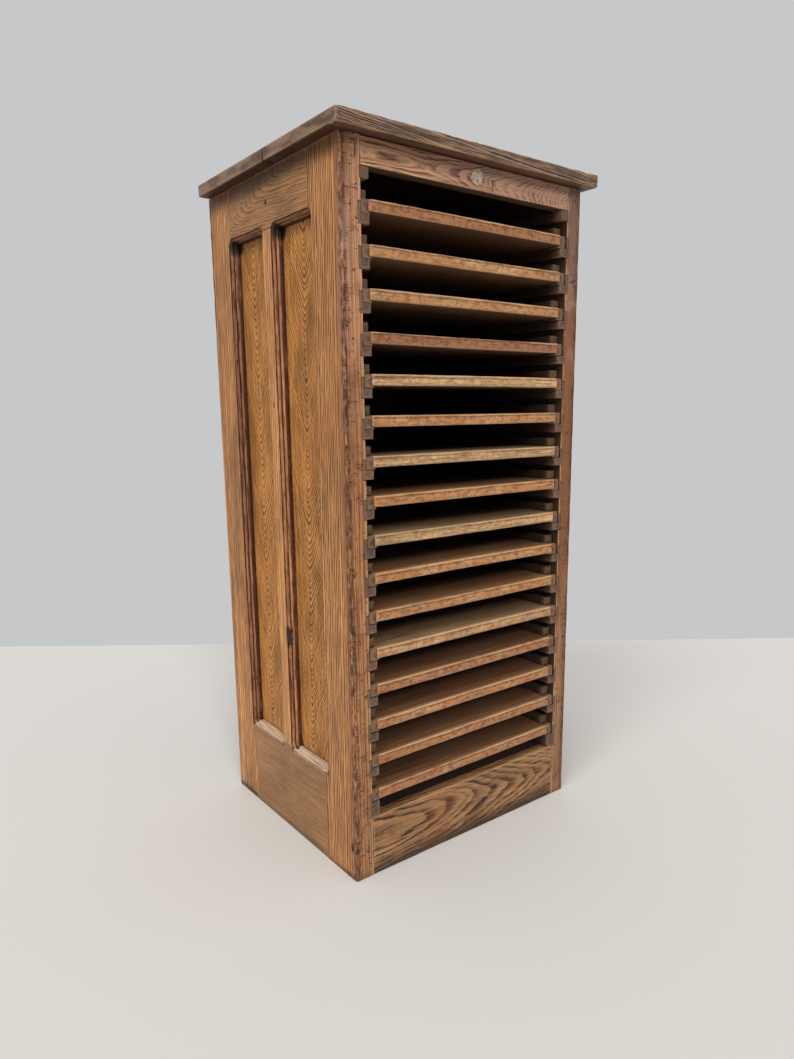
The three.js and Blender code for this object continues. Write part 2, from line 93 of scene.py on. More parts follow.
class CabinetSizes(bpy.types.PropertyGroup):
    """Sizes of what the solids leave plain: fits, eased arrises and wear."""

    post_width: size("Post width", "Width of a post across the front", 36)
    tenon: size("Tenon", "Length of a rail's tenon", 24)
    tongue: size("Tongue", "How far a panel reaches into its groove", 8)
    runner_let_in: size("Runner let in", "Depth that a runner's flange is let into its post", 5.5)
    ledge_width: size("Ledge width", "How far a runner's ledge stands into the opening", 15.5)
    ledge_height: size("Ledge height", "Height of a runner's ledge", 15)
    flange_rise: size("Flange rise", "How far a runner's flange rises above its ledge", 17)
    kicker_let_in: size("Kicker let in", "Depth that the uppermost runner is let in", 1.5)
    kicker_height: size("Kicker height", "Height of the uppermost, plain runner", 17)
    tray_rest_gap: size("Tray rest gap", "Gap between a tray and the ledge it lies on", 0.3)
    fit: size("Fit", "Gap left round a runner in its notch", 0.35)
    cleat_width: size("Cleat width", "Width of the strip at each end of a tray's board", 14)
    rim_width: size("Rim width", "Width of the low rim round a tray", 18.5)
    rim_set_back: size("Rim set back", "How far the rim starts behind the tray's front", 15)
    strip_depth: size("Front strip", "Depth of the strip glued along a tray's front edge", 15)
    tray_bow: size("Tray bow", "How far a tray's board has bowed", 0.8)
    post_arris: size("Post arris", "Easing of the long arrises of the posts", 0.9)
    notch_arris: size("Notch arris", "Easing of the posts' front faces round the runners", 0.4)
    runner_arris: size("Runner arris", "Easing of the runners", 0.8)
    side_arris: size("Side arris", "Easing of the outer faces of the side rails", 0.35)
    rail_arris: size("Rail arris", "Easing of the front rails", 0.5)
    board_arris: size("Board arris", "Easing of the back and bottom boards", 0.6)
    top_arris: size("Top arris", "Easing of the top", 2.4)
    top_corner: size("Top corner", "Rounding of the top's corners", 5)
    tray_arris: size("Tray arris", "Easing of a tray's board", 1.5)
    tray_corner: size("Tray corner", "Rounding of a tray's front corners", 3.5)
    cleat_arris: size("Cleat arris", "Easing of the cleats and rims", 1.1)
    wear_depth: size("Wear depth", "Deepest wear of an arris", 2)
    wear_reach: size("Wear reach", "How far wear spreads from an arris", 8)
    station: size("Station", "Spacing of the cuts across a board, for its wear", 11)


class CabinetColours(bpy.types.PropertyGroup):
    """Colours of the timber, as seen in plain light, and of the shade and highlight painted on it.
    """

    post_light: colour("Post, light", "Summer wood of the posts", 220, 156, 94)
    post_dark: colour("Post, dark", "Spring wood of the posts", 80, 42, 22)
    stile_tint: colour("Stile tint", "Rubbed front faces of the posts", 188, 138, 108)
    rail_light: colour("Rail, light", "Summer wood of the side rails", 174, 126, 80)
    rail_dark: colour("Rail, dark", "Spring wood of the side rails", 98, 60, 34)
    panel_light: colour("Panel, light", "Summer wood of the panels", 204, 140, 73)
    panel_dark: colour("Panel, dark", "Spring wood of the panels", 92, 52, 22)
    front_light: colour("Front rail, light", "Summer wood, upper front rail", 226, 168, 124)
    front_dark: colour("Front rail, dark", "Spring wood, upper front rail", 58, 32, 20)
    bold_light: colour("Bold, light", "Summer wood, lower front rail", 162, 118, 78)
    bold_dark: colour("Bold, dark", "Spring wood, lower front rail", 58, 36, 22)
    top_light: colour("Top, light", "Summer wood of the top", 160, 120, 94)
    top_dark: colour("Top, dark", "Spring wood of the top", 62, 40, 28)
    top_edge: colour("Top edge", "Rubbed front edge of the top", 184, 150, 126)
    runner_light: colour("Runner, light", "Runners, rubbed", 108, 83, 71)
    runner_dark: colour("Runner, dark", "Runners, in the grain", 66, 48, 42)
    cleat_light: colour("Cleat, light", "Cleats and rims of the trays, rubbed", 110, 83, 68)
    cleat_dark: colour("Cleat, dark", "Cleats and rims of the trays, in the grain", 70, 52, 42)
    tray_tan: colour("Tray, tan", "Front edge of the palest trays", 212, 172, 124)
    tray_orange: colour("Tray, orange", "Front edge of the reddest trays", 190, 130, 80)
    tray_brown: colour("Tray, brown", "Front edge of the darkest trays", 156, 106, 76)
    tray_face: colour("Tray face", "Upper faces of the tan trays", 150, 122, 96)
    tray_aged: colour("Tray, aged", "Upper faces of the redder trays", 108, 76, 57)
    inside_light: colour("Inside, light", "Back and bottom boards", 132, 100, 72)
    inside_dark: colour("Inside, dark", "Back and bottom boards, in the grain", 78, 54, 38)
    # Painted shade on surfaces inside the case, on faces into the case and on undersides.
    painted_shade: colour("Unlit", "Old, dark surfaces inside the case", 60, 48, 41)
    # Real dirt in crevices and dents; also the colour of painted shade in hollows and of the
    # painted shadow under the top.
    grime_and_shade: colour("Grime", "Old dirt in crevices and dents", 30, 17, 11)
    stain: colour("Stain", "Red-brown flecks on trays and posts", 120, 66, 38)
    purplish: colour("Purplish", "Tint of the upper front rail and posts", 180, 140, 124)
    # Painted shade on the front of the right-hand post.
    right_post_shade: colour("Old finish", "Dark red finish of the right-hand post", 112, 84, 70)
    foot: colour("Foot", "Dull brown wood towards the foot of the posts", 128, 86, 50)
    # Red-brown of rubbed wood; also used for painted shade on the right-hand post's front.
    handled_and_shade: colour("Handled", "Red-brown wood that hands have rubbed", 132, 80, 46)
    glow: colour("Glow", "Redder patches of the old finish", 172, 98, 48)
    rubbed: colour("Rubbed", "Bare wood on worn arrises", 206, 164, 118)
    moulding: colour("Moulding", "Rubbed bands of the panels' moulding", 152, 100, 74)
    # Dirt and old finish in quirks, nicks and scores; also used for painted shade under the top and
    # in the moulding.
    crevice_and_shade: colour("Crevice", "Dirt and old finish in the moulding's quirks", 58, 24, 14)
    # Painted highlight on the upward faces of the bottom rails' moulding.
    moulding_highlight: colour("Pale moulding", "Bare moulding of the bottom rails", 226, 192, 160)
    residue: colour("Residue", "Dried residue on the upper front rail", 196, 188, 172)
    wall: colour("Wall", "Background behind the cabinet", 199, 200, 202)
    floor: colour("Floor", "Floor under the cabinet", 214, 211, 206)


def sizes():
    """The sizes that a user can change."""
    return bpy.context.scene.cabinet_sizes


def paint(name):
    """The colour of that name."""
    return getattr(bpy.context.scene.cabinet_colours, name)


# Shader maths written as Python expressions


class Number:
    """A number socket of a finish. Python's operators on it add Math nodes."""

    def __init__(self, finish, socket):
        self.finish = finish
        self.socket = socket

    def math(self, operation, *others, clamp=False):
        settings = {"operation": operation, "use_clamp": clamp}
        return self.finish.node("ShaderNodeMath", settings, dict(enumerate([self, *others])))

    def __add__(self, other):
        return self.math("ADD", other)

    __radd__ = __add__

    def __sub__(self, other):
        return self.math("SUBTRACT", other)

    def __rsub__(self, other):
        return self * -1 + other

    def __mul__(self, other):
        return self.math("MULTIPLY", other)

    __rmul__ = __mul__

    def __truediv__(self, other):
        return self.math("DIVIDE", other)

    def __pow__(self, other):
        return self.math("POWER", other)

    def __abs__(self):
        return self.math("ABSOLUTE")

    def clamped(self):
        """The number, kept from 0 to 1."""
        return self.math("ADD", 0, clamp=True)

    def most(self, other):
        """The larger of two numbers."""
        return self.math("MAXIMUM", other)

    def between(self, low, high):
        """0 below low, 1 above high and smooth between, or falling where low is above high."""
        if low > high:
            return 1 - self.between(high, low)
        settings = {"interpolation_type": "SMOOTHSTEP"}
        inputs = {"Value": self, "From Min": low, "From Max": high}
        return self.finish.node("ShaderNodeMapRange", settings, inputs)

    def within(self, low, rise, fall, high):
        """1 from rise to fall, and 0 below low and above high."""
        return self.between(low, rise) * self.between(high, fall)


class Finish:
    """A material while it is put together."""

    def __init__(self, name, kept_in=None):
        self.material = kept_in or bpy.data.materials.new(name)
        self.material.use_nodes = True
        self.tree = self.material.node_tree
        self.tree.nodes.clear()

    def node(self, kind, settings=None, inputs=None, output=0):
        """Adds a node: first its settings, then its sockets. Returns one output, as a Number."""
        made = self.tree.nodes.new(kind)
        for key, value in (settings or {}).items():
            if key == "stops":
                self.set_stops(made.color_ramp, value)
            else:
                setattr(made, key, value)
        for key, value in (inputs or {}).items():
            self.feed(made.inputs[key], value)
        return Number(self, made.outputs[output])

    def set_stops(self, ramp, stops):
        for position, shade in stops[2:]:
            ramp.elements.new(position)
        for element, (position, shade) in zip(ramp.elements, stops):
            element.position = position
            element.color = (shade, shade, shade, 1)

    def feed(self, socket, value):
        """Links a Number to a socket, or sets the socket to a value."""
        if isinstance(value, Number):
            self.tree.links.new(value.socket, socket)
        elif hasattr(value, "__len__") and len(value) == 3 and socket.type == "RGBA":
            socket.default_value = (*value, 1)
        else:
            socket.default_value = value

    def attribute(self, name, output="Fac"):
        return self.node("ShaderNodeAttribute", {"attribute_name": name}, output=output)

    def parts(self, vector):
        """The three numbers of a vector."""
        made = self.node("ShaderNodeSeparateXYZ", inputs={0: vector})
        return [Number(self, out) for out in made.socket.node.outputs]

    def vector(self, operation, inputs, output=0):
        return self.node("ShaderNodeVectorMath", {"operation": operation}, inputs, output)

    def noise(self, vector, frequency, detail=2, roughness=0.5, output=0):
        """Noise with so many waves to the metre along each axis of the vector."""
        place = self.vector("MULTIPLY", {0: vector, 1: frequency})
        inputs = {"Vector": place, "Scale": 1, "Detail": detail, "Roughness": roughness}
        return self.node("ShaderNodeTexNoise", None, inputs, output)

    def noise_along(self, number, frequency):
        """Noise that depends on one number alone."""
        inputs = {"W": number * frequency, "Scale": 1, "Detail": 1}
        return self.node("ShaderNodeTexNoise", {"noise_dimensions": "1D"}, inputs)

    def mix(self, factor, first, second):
        """A colour between two others, by a factor."""
        made = self.node("ShaderNodeMix", {"data_type": "RGBA"})
        sockets = made.socket.node.inputs
        for number, value in ((0, factor), (6, first), (7, second)):
            self.feed(sockets[number], value)
        return Number(self, made.socket.node.outputs[2])

    def shade(self, base, roughness, height=None, bump=0.6 * MM, specular=0.4):
        """Ends the finish with its shader."""
        inputs = {"Base Color": base, "Roughness": roughness, "Specular IOR Level": specular}
        if height is not None:
            bumped = {"Strength": 1, "Distance": bump, "Height": height}
            inputs["Normal"] = self.node("ShaderNodeBump", None, bumped)
        self.end("ShaderNodeOutputMaterial", self.node("ShaderNodeBsdfPrincipled", None, inputs))
        return self.material

    def end(self, kind, shader):
        """Links a shader to the output of a material or world."""
        self.feed(self.tree.nodes.new(kind).inputs["Surface"], shader)


# Shade of one year's growth, from its dark, open spring wood to its dense summer wood
RING_STOPS = [(0, 0.1), (0.08, 1), (0.36, 0.75), (0.62, 0.12), (1, 0)]


class Oak(Finish):
    """Oak, read from its place in the log: rings, pores, fibre, mottling, old dirt, painted shade
    and wear.

    The attribute log holds a point's place along the log, across it and away from its pith,
    strand the same for the board's own fibres, which don't climb through the rings, arris the
    distance from the nearest arris of the board, and seam that from a board it butts against.

    In millimetres, ring is the width of a year, pith how near the pith can be, and drift, swell
    and jag how far the rings wander in broad, middling and fine waves. The rest are shares.
    """

    def __init__(self, name, light, dark, ring=3, pith=25, drift=5, swell=0, jag=0.8, contrast=0.9,
                 streak=0.52, pores=0.5, dirt=0.8, wear=0.6):
        super().__init__(name)
        self.place = self.node("ShaderNodeTexCoord", output="Object")
        self.at = self.parts(self.place)
        self.facing = self.parts(self.node("ShaderNodeTexCoord", output="Normal"))

        log = self.attribute("log", "Vector")
        across, depth = self.parts(log)[1:]
        wander = self.parts(self.noise(log, (4, 15, 15), 2, output="Color"))
        tooth = self.noise(log, (85, 90, 90), 1)
        across = across + (wander[0] - 0.5) * (2 * drift * MM)
        depth = depth + (wander[1] - 0.5) * (2 * drift * MM) + (tooth - 0.5) * (2 * jag * MM)
        if swell:
            depth = depth + (self.noise(log, (7, 16, 16), 1) - 0.5) * (2 * swell * MM)
        radius = (across * across + (pith * MM) ** 2) ** 0.5 + depth
        turn = radius / (ring * MM)
        turn = turn + (self.noise_along(turn, 0.31) - 0.5) * 1.7
        settings = {"noise_dimensions": "1D"}
        year = self.node("ShaderNodeTexWhiteNoise", settings, {"W": turn.math("FLOOR")})
        band = self.node("ShaderNodeValToRGB", {"stops": RING_STOPS}, {0: turn.math("FRACT")})

        strand = self.attribute("strand", "Vector")
        dashes = self.noise(strand, (26, 330, 330), 2).between(0.36, 0.56)
        self.band = band * (dashes * 0.62 + 0.38)
        pore = self.noise(strand, (60, 700, 700), 1).between(0.56, 0.66) * (self.band * 0.8 + 0.2)
        fibre = self.noise(strand, (9, 240, 240), 3, 0.6).between(0.32, 0.68)
        mottle = self.noise(log, (5, 24, 24), 3).between(0.3, 0.7)
        shown = self.band * contrast * (year * 0.45 + 0.55)
        self.base = self.mix(shown, paint(light), paint(dark))
        self.tint(pore * pores, "grime_and_shade")
        lit = fibre * streak + mottle * 0.34 + (0.84 - streak / 2)
        self.base = self.vector("SCALE", {0: self.base, "Scale": lit})
        self.rough = self.band * 0.12 + fibre * 0.15 + 0.36
        self.height = fibre * 0.3 - self.band * 0.4 - pore * 0.5
        self.age(dirt, wear)

    def age(self, dirt, wear):
        """Painted shade with dirt in hollows, darker by the floor, painted shadow with some dirt
        under the top, and rubbed arrises.
        """
        blotch = self.texture((9, 9, 6), 5, 0.6)
        self.tint(blotch.between(0.5, 0.75) * (dirt * 0.5), "grime_and_shade")
        self.tint(blotch.between(0.5, 0.3) * (dirt * 0.3), "glow")
        # Painted shade with dirt in hollows, where little light reaches.
        inputs = {"Distance": 11 * MM}
        open_share = self.node("ShaderNodeAmbientOcclusion", {"samples": 6}, inputs, "AO")
        hollow = (1 - open_share) * (blotch + 0.6)
        self.tint(hollow.between(0.25, 0.85) * dirt, "grime_and_shade")
        # Darker towards the floor.
        towards_floor = self.at[Z] - blotch * 22 * MM
        self.tint(towards_floor.between(2 * MM, -8 * MM) * dirt, "grime_and_shade")
        # Painted shadow under the overhanging top, with some dirt.
        under_top = self.at[Z] + blotch * 12 * MM - cabinet_places().height
        self.tint(under_top.between(-34 * MM, -4 * MM) * dirt * 0.9, "grime_and_shade")
        rub = self.texture((70, 70, 45), 3)
        self.worn = (1 - self.attribute("arris") / (rub * 9 * MM)).clamped() * wear
        self.tint(self.worn, "rubbed")
        seam = (1 - self.attribute("seam") / (rub * 2.4 * MM)).clamped()
        self.tint(seam, "grime_and_shade")
        self.dent(seam, 0.6)
        self.rough = self.rough + self.worn * 0.1

    def texture(self, frequency, detail=2, roughness=0.5):
        """Noise over the surface, with so many waves to the metre along X, Y and Z."""
        return self.noise(self.place, frequency, detail, roughness)

    def tint(self, mask, name):
        """Turns the wood towards a colour where the mask is."""
        self.base = self.mix(mask, self.base, paint(name))

    def dent(self, mask, depth):
        """Sinks the surface where the mask is."""
        self.height = self.height - mask * depth

    def faces(self, axis, sign=0):
        """1 where the surface faces up an axis, down it, or either way where sign is 0."""
        amount = self.facing[axis] * sign if sign else abs(self.facing[axis])
        return amount.between(0.6, 0.9)

    def from_side(self):
        """How far a point lies in from the outer face of the nearer side."""
        places = cabinet_places()
        return places.half - abs(self.at[X] - places.middle)

    def darken_inwards(self):
        """Painted shade: surfaces behind the front get darker over the first few centimetres."""
        behind = self.at[Y] - cabinet_places().front
        self.tint(behind.between(1 * MM, 28 * MM) * 0.9, "painted_shade")

    def darken_inner_face(self):
        """Painted shade on the faces of the sides that look into the case."""
        places = cabinet_places()
        inward = (self.facing[X] * (places.middle - self.at[X])) / places.half
        self.tint(inward.between(0.4, 0.7) * 0.94, "painted_shade")

    def outline(self):
        """Dirt along the arrises of small end faces."""
        close = 1 - self.attribute("arris") / (1.5 * MM)
        self.tint(close.clamped() * self.faces(Y, -1) * 0.8, "grime_and_shade")

    def spot(self, point, radius, stretch=(1, 1, 1)):
        """1 at a point of the frame, falling to 0 at the radius, over a ragged rim."""
        ragged = self.texture((160, 160, 160), 2)
        offset = self.vector("SUBTRACT", {0: self.place, 1: point})
        shares = self.vector("MULTIPLY", {0: offset, 1: [1 / (radius * s) for s in stretch]})
        reach = self.vector("LENGTH", {0: shares}, "Value")
        return (reach + (ragged - 0.5) * 0.8).between(1, 0.55)

    def mark(self, kind):
        """The nail holes, splits and knots of one kind of piece: dark and sunk."""
        for point, radius, stretch in marks()[kind]:
            spot = self.spot(point, radius, stretch)
            self.tint(spot * 0.95, "grime_and_shade")
            self.dent(spot, 2)

    def done(self, bump=0.6 * MM):
        """Ends the oak, with bump as the height of its pores and fibres."""
        return self.shade(self.base, self.rough, self.height, bump, 0.28)


# Timber: shapes

# Corners closer than this are one
HAIR = 1e-6
# Degrees between faces that are one flat face, and between faces that meet in a sharp arris
FLAT, SHARP = 0.5, 38


def placed(name, data):
    """A new object of the scene."""
    made = bpy.data.objects.new(name, data)
    bpy.context.scene.collection.objects.link(made)
    return made


def as_mesh(worked, name="part"):
    """Turns a worked board into a mesh."""
    mesh = bpy.data.meshes.new(name)
    worked.to_mesh(mesh)
    worked.free()
    return mesh


def from_mesh(mesh):
    """A board to work, from a mesh, with its flat faces whole again."""
    worked = bmesh.new()
    worked.from_mesh(mesh)
    bmesh.ops.remove_doubles(worked, verts=worked.verts, dist=HAIR)
    bmesh.ops.dissolve_limit(
        worked, angle_limit=math.radians(FLAT), verts=worked.verts, edges=worked.edges
    )
    return worked


def from_node(node):
    """A board to work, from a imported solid."""
    return from_mesh(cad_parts[node].data)


def block(low, high):
    """A plain board between two corners."""
    worked = bmesh.new()
    bmesh.ops.create_cube(worked, size=1)
    middle, extent = (low + high) / 2, high - low
    for vert in worked.verts:
        vert.co = Vector([middle[i] + vert.co[i] * extent[i] for i in range(3)])
    return worked


def point_on(axis, at, place=(0, 0)):
    """A point at a place along an axis, and at a place in the two axes that follow it."""
    point = [0, 0, 0]
    point[axis] = at
    point[(axis + 1) % 3], point[(axis + 2) % 3] = place
    return point


def extruded(outline, axis, low, high):
    """An outline, in the two axes that follow the given one, run along that axis."""
    worked = bmesh.new()
    first = worked.faces.new([worked.verts.new(point_on(axis, low, place)) for place in outline])
    made = bmesh.ops.extrude_face_region(worked, geom=[first])
    moved = [vert for vert in made["geom"] if isinstance(vert, bmesh.types.BMVert)]
    bmesh.ops.translate(worked, verts=moved, vec=point_on(axis, high - low))
    bmesh.ops.recalc_face_normals(worked, faces=worked.faces)
    return worked


def carved(worked, cutters):
    """Cuts shapes out of a board."""
    objects = []
    for number, shape in enumerate([worked, *cutters]):
        name = f"carving_{number}"
        objects.append(placed(name, as_mesh(shape, name)))
    body = objects[0]
    for cutter in objects[1:]:
        step = body.modifiers.new("cut", "BOOLEAN")
        step.operation = "DIFFERENCE"
        step.solver = "EXACT"
        step.object = cutter
    graph = bpy.context.evaluated_depsgraph_get()
    result = bpy.data.meshes.new_from_object(body.evaluated_get(graph), depsgraph=graph)
    worked = from_mesh(result)
    spent = [result, *(made.data for made in objects)]
    for made in objects:
        bpy.data.objects.remove(made)
    for mesh in spent:
        bpy.data.meshes.remove(mesh)
    return worked


def ease(worked, width, segments=2, where=None, least_angle=40):
    """Rounds the outer arrises, all or only those that where picks."""
    chosen = [
        edge for edge in worked.edges
        if len(edge.link_faces) == 2
        and edge.calc_face_angle_signed() > math.radians(least_angle)
        and (where is None or where(edge))
    ]
    bmesh.ops.bevel(
        worked, geom=chosen, offset=width, segments=segments, affect="EDGES", profile=0.5,
        clamp_overlap=True,
    )
    return worked


def on_plane(axis, place, slack=0.05 * MM):
    """Picks edges that lie in a plane across an axis."""
    return lambda edge: all(abs(vert.co[axis] - place) < slack for vert in edge.verts)


def along(axis, least=0):
    """Picks straight edges along an axis that are longer than the least length."""

    def test(edge):
        run = edge.verts[1].co - edge.verts[0].co
        return abs(run[axis]) > max(least, 0.99 * run.length)

    return test


def slice_at(worked, axis, places):
    """Adds edges where planes across an axis meet the board."""
    for place in places:
        everything = [*worked.verts, *worked.edges, *worked.faces]
        bmesh.ops.bisect_plane(
            worked, geom=everything, dist=HAIR,
            plane_co=point_on(axis, place), plane_no=point_on(axis, 1),
        )


def bounds_of(worked):
    """Low and high corner of a board."""
    places = [[vert.co[i] for vert in worked.verts] for i in range(3)]
    return Vector([min(row) for row in places]), Vector([max(row) for row in places])


def arris_distance(point, low, high):
    """Distance of a point on a board's skin from the nearest arris of the board's box."""
    gaps = sorted(min(abs(point[i] - low[i]), abs(high[i] - point[i])) for i in range(3))
    return gaps[1]


class Lay(NamedTuple):
    """How a board lies in its log.

    facing is the axis towards the pith. The board's middle lies so far across from the pith's
    line and so deep under it, in metres. The rings rise by so much a metre along the board, swing
    is how much more with each metre, and skew is how much the pith's line runs aslant.
    """

    facing: int
    across: float = 0
    depth: float = 0
    rise: float = 0
    skew: float = 0
    swing: float = 0


# A board's seed moves it along the log by so many LOG_STEP, and through the noise of its wear by
# so many WEAR_STEPS, so that no two boards of one finish are alike
LOG_STEP, WEAR_STEPS = 1.7, (0.37, 0.61, 0.83)
# Waves of wear to the metre, and their shares
WEAR_WAVES = ((45, 0.6), (120, 0.4))


def work(worked, low, high, grain, lay, seed, pitch=None, wear=1, bow=0, seams=()):
    """Slices a board, wears its arrises and notes each point's place in the log.

    seams are the planes, as (axis, place), where other boards butt against this one.
    """
    reach, depth = sizes().wear_reach, sizes().wear_depth
    length = high[grain] - low[grain]
    count = int(length / (pitch or sizes().station))
    slice_at(worked, grain, [low[grain] + length * step / count for step in range(1, count)])
    for axis in (X, Y, Z):
        if high[axis] - low[axis] > 2.5 * reach:
            slice_at(worked, axis, [low[axis] + reach, high[axis] - reach])
    middle = (low + high) / 2
    across = 3 - grain - lay.facing
    layers = worked.verts.layers
    log, strand = layers.float_vector.new("log"), layers.float_vector.new("strand")
    arris, seam = layers.float.new("arris"), layers.float.new("seam")
    worked.normal_update()
    shift = Vector([seed * step for step in WEAR_STEPS])
    moved = []
    for vert in worked.verts:
        place = vert.co - middle
        run = place[grain]
        vert[strand] = (
            run + seed * LOG_STEP, place[across] + lay.across, place[lay.facing] + lay.depth
        )
        vert[log] = vert[strand] + Vector((0, lay.skew * run, (lay.rise + lay.swing * run) * run))
        vert[arris] = min(arris_distance(vert.co, low, high), 2 * reach)
        vert[seam] = min([abs(vert.co[axis] - plane) for axis, plane in seams], default=1)
        gone = max(0, 1 - vert[arris] / reach) ** 1.5
        rough = sum(noise.noise(vert.co * waves + shift) * share for waves, share in WEAR_WAVES)
        step = vert.normal * -(max(0, rough + 0.12) * gone * wear * depth)
        if bow:
            share = 2 * run / length
            step[lay.facing] += bow * (1 - share * share)
        moved.append(vert.co + step)
    for vert, place in zip(worked.verts, moved):
        vert.co = place
    return worked


def joined(boards):
    """Boards that make one piece."""
    whole = bmesh.new()
    for board in boards:
        mesh = as_mesh(board)
        whole.from_mesh(mesh)
        bpy.data.meshes.remove(mesh)
    return whole


def add_piece(node, worked, material, body="case", nodes=None):
    """Makes a worked board a piece of the cabinet, in the place of its solids."""
    for face in worked.faces:
        face.smooth = True
    for edge in worked.edges:
        if len(edge.link_faces) == 2:
            edge.smooth = edge.calc_face_angle() < math.radians(SHARP)
    name = f"oak_{node}"
    piece = placed(name, as_mesh(worked, name))
    piece.data.materials.append(material)
    weighted = piece.modifiers.new("flat faces", "WEIGHTED_NORMAL")
    weighted.keep_sharp = True
    nodes = nodes or [node]
    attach(piece, body)
    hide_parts(*nodes)


# Places read from the frame


def cabinet_places():
    """The planes of the case that pieces line up with, and the boxes of the left panels."""
    low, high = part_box("left_front_post")
    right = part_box("right_front_post")[1].x
    return SimpleNamespace(
        left=low.x,
        right=right,
        middle=(low.x + right) / 2,
        half=(right - low.x) / 2,
        front=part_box("front_bottom_rail")[0].y,
        back=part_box("left_rear_post")[1].y,
        back_face=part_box("back_board_1")[0].y,
        height=high.z,
        panels=(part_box("left_front_panel"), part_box("left_rear_panel")),
    )


def marks():
    """Splits, nail holes and knots of each kind of piece: place, radius and stretch."""
    places = cabinet_places()
    left, front, height = places.left, places.front, places.height
    return {
        "post": [
            ((left + 27.5 * MM, front, height - 25 * MM), 14 * MM, (0.08, 1, 1)),
            ((left, places.back - 34 * MM, 8 * MM), 15 * MM, (1, 0.09, 1)),
            ((left, front + 11 * MM, 62 * MM), 11 * MM, (1, 0.5, 1)),
            ((places.right - 16 * MM, front, height - 22 * MM), 2.4 * MM, (1, 1, 1)),
        ],
        "side_top_rail": [((left, 14 * MM, 1145 * MM), 4.2 * MM, (1, 1.3, 1.1))],
        "mullion": [((left, 14 * MM, 812 * MM), 5 * MM, (1, 0.5, 1.5))],
        "side_bottom_rail": [
            ((left + 9 * MM, high.y - 2 * MM, low.z + 4 * MM), 11 * MM, (1, 1, 1))
            for low, high in places.panels
        ],
    }


def ledge_height(number):
    """Height of the ledge that a tray lies on. Number 0 is the plain runner over tray 1."""
    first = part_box("tray_01_edging")[0].z - sizes().tray_rest_gap
    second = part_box("tray_02_edging")[0].z - sizes().tray_rest_gap
    return first - (number - 1) * (first - second)


def runner_outline(side, number, grow=0):
    """Section of a runner in z and x."""
    places = cabinet_places()
    face = places.left + sizes().post_width
    top = ledge_height(number)
    inner = face + sizes().ledge_width + grow
    low = top - sizes().ledge_height - grow
    if number == TRAYS[-1]:
        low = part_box("front_bottom_rail")[1].z - grow
    if number == 0:
        outer = face - sizes().kicker_let_in - grow
        high = top - sizes().ledge_height + sizes().kicker_height + grow
        points = [(low, outer), (low, inner), (high, inner), (high, outer)]
    else:
        outer = face - sizes().runner_let_in - grow
        high = top + sizes().flange_rise + grow
        points = [
            (low, outer), (low, inner), (top + grow, inner),
            (top + grow, face + grow), (high, face + grow), (high, outer),
        ]
    if side == "right":
        points = [(z, 2 * places.middle - x) for z, x in points]
    return points


def shoulders(node, axis):
    """The planes where a rail's tenons start, as seams."""
    low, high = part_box(node)
    return [(axis, low[axis] + sizes().tenon), (axis, high[axis] - sizes().tenon)]


def between_shoulders(node, axis):
    """A rail's box without its tenons, which the posts hide."""
    low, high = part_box(node)
    low[axis], high[axis] = [place for _, place in shoulders(node, axis)]
    return low, high


# Finishes of the case


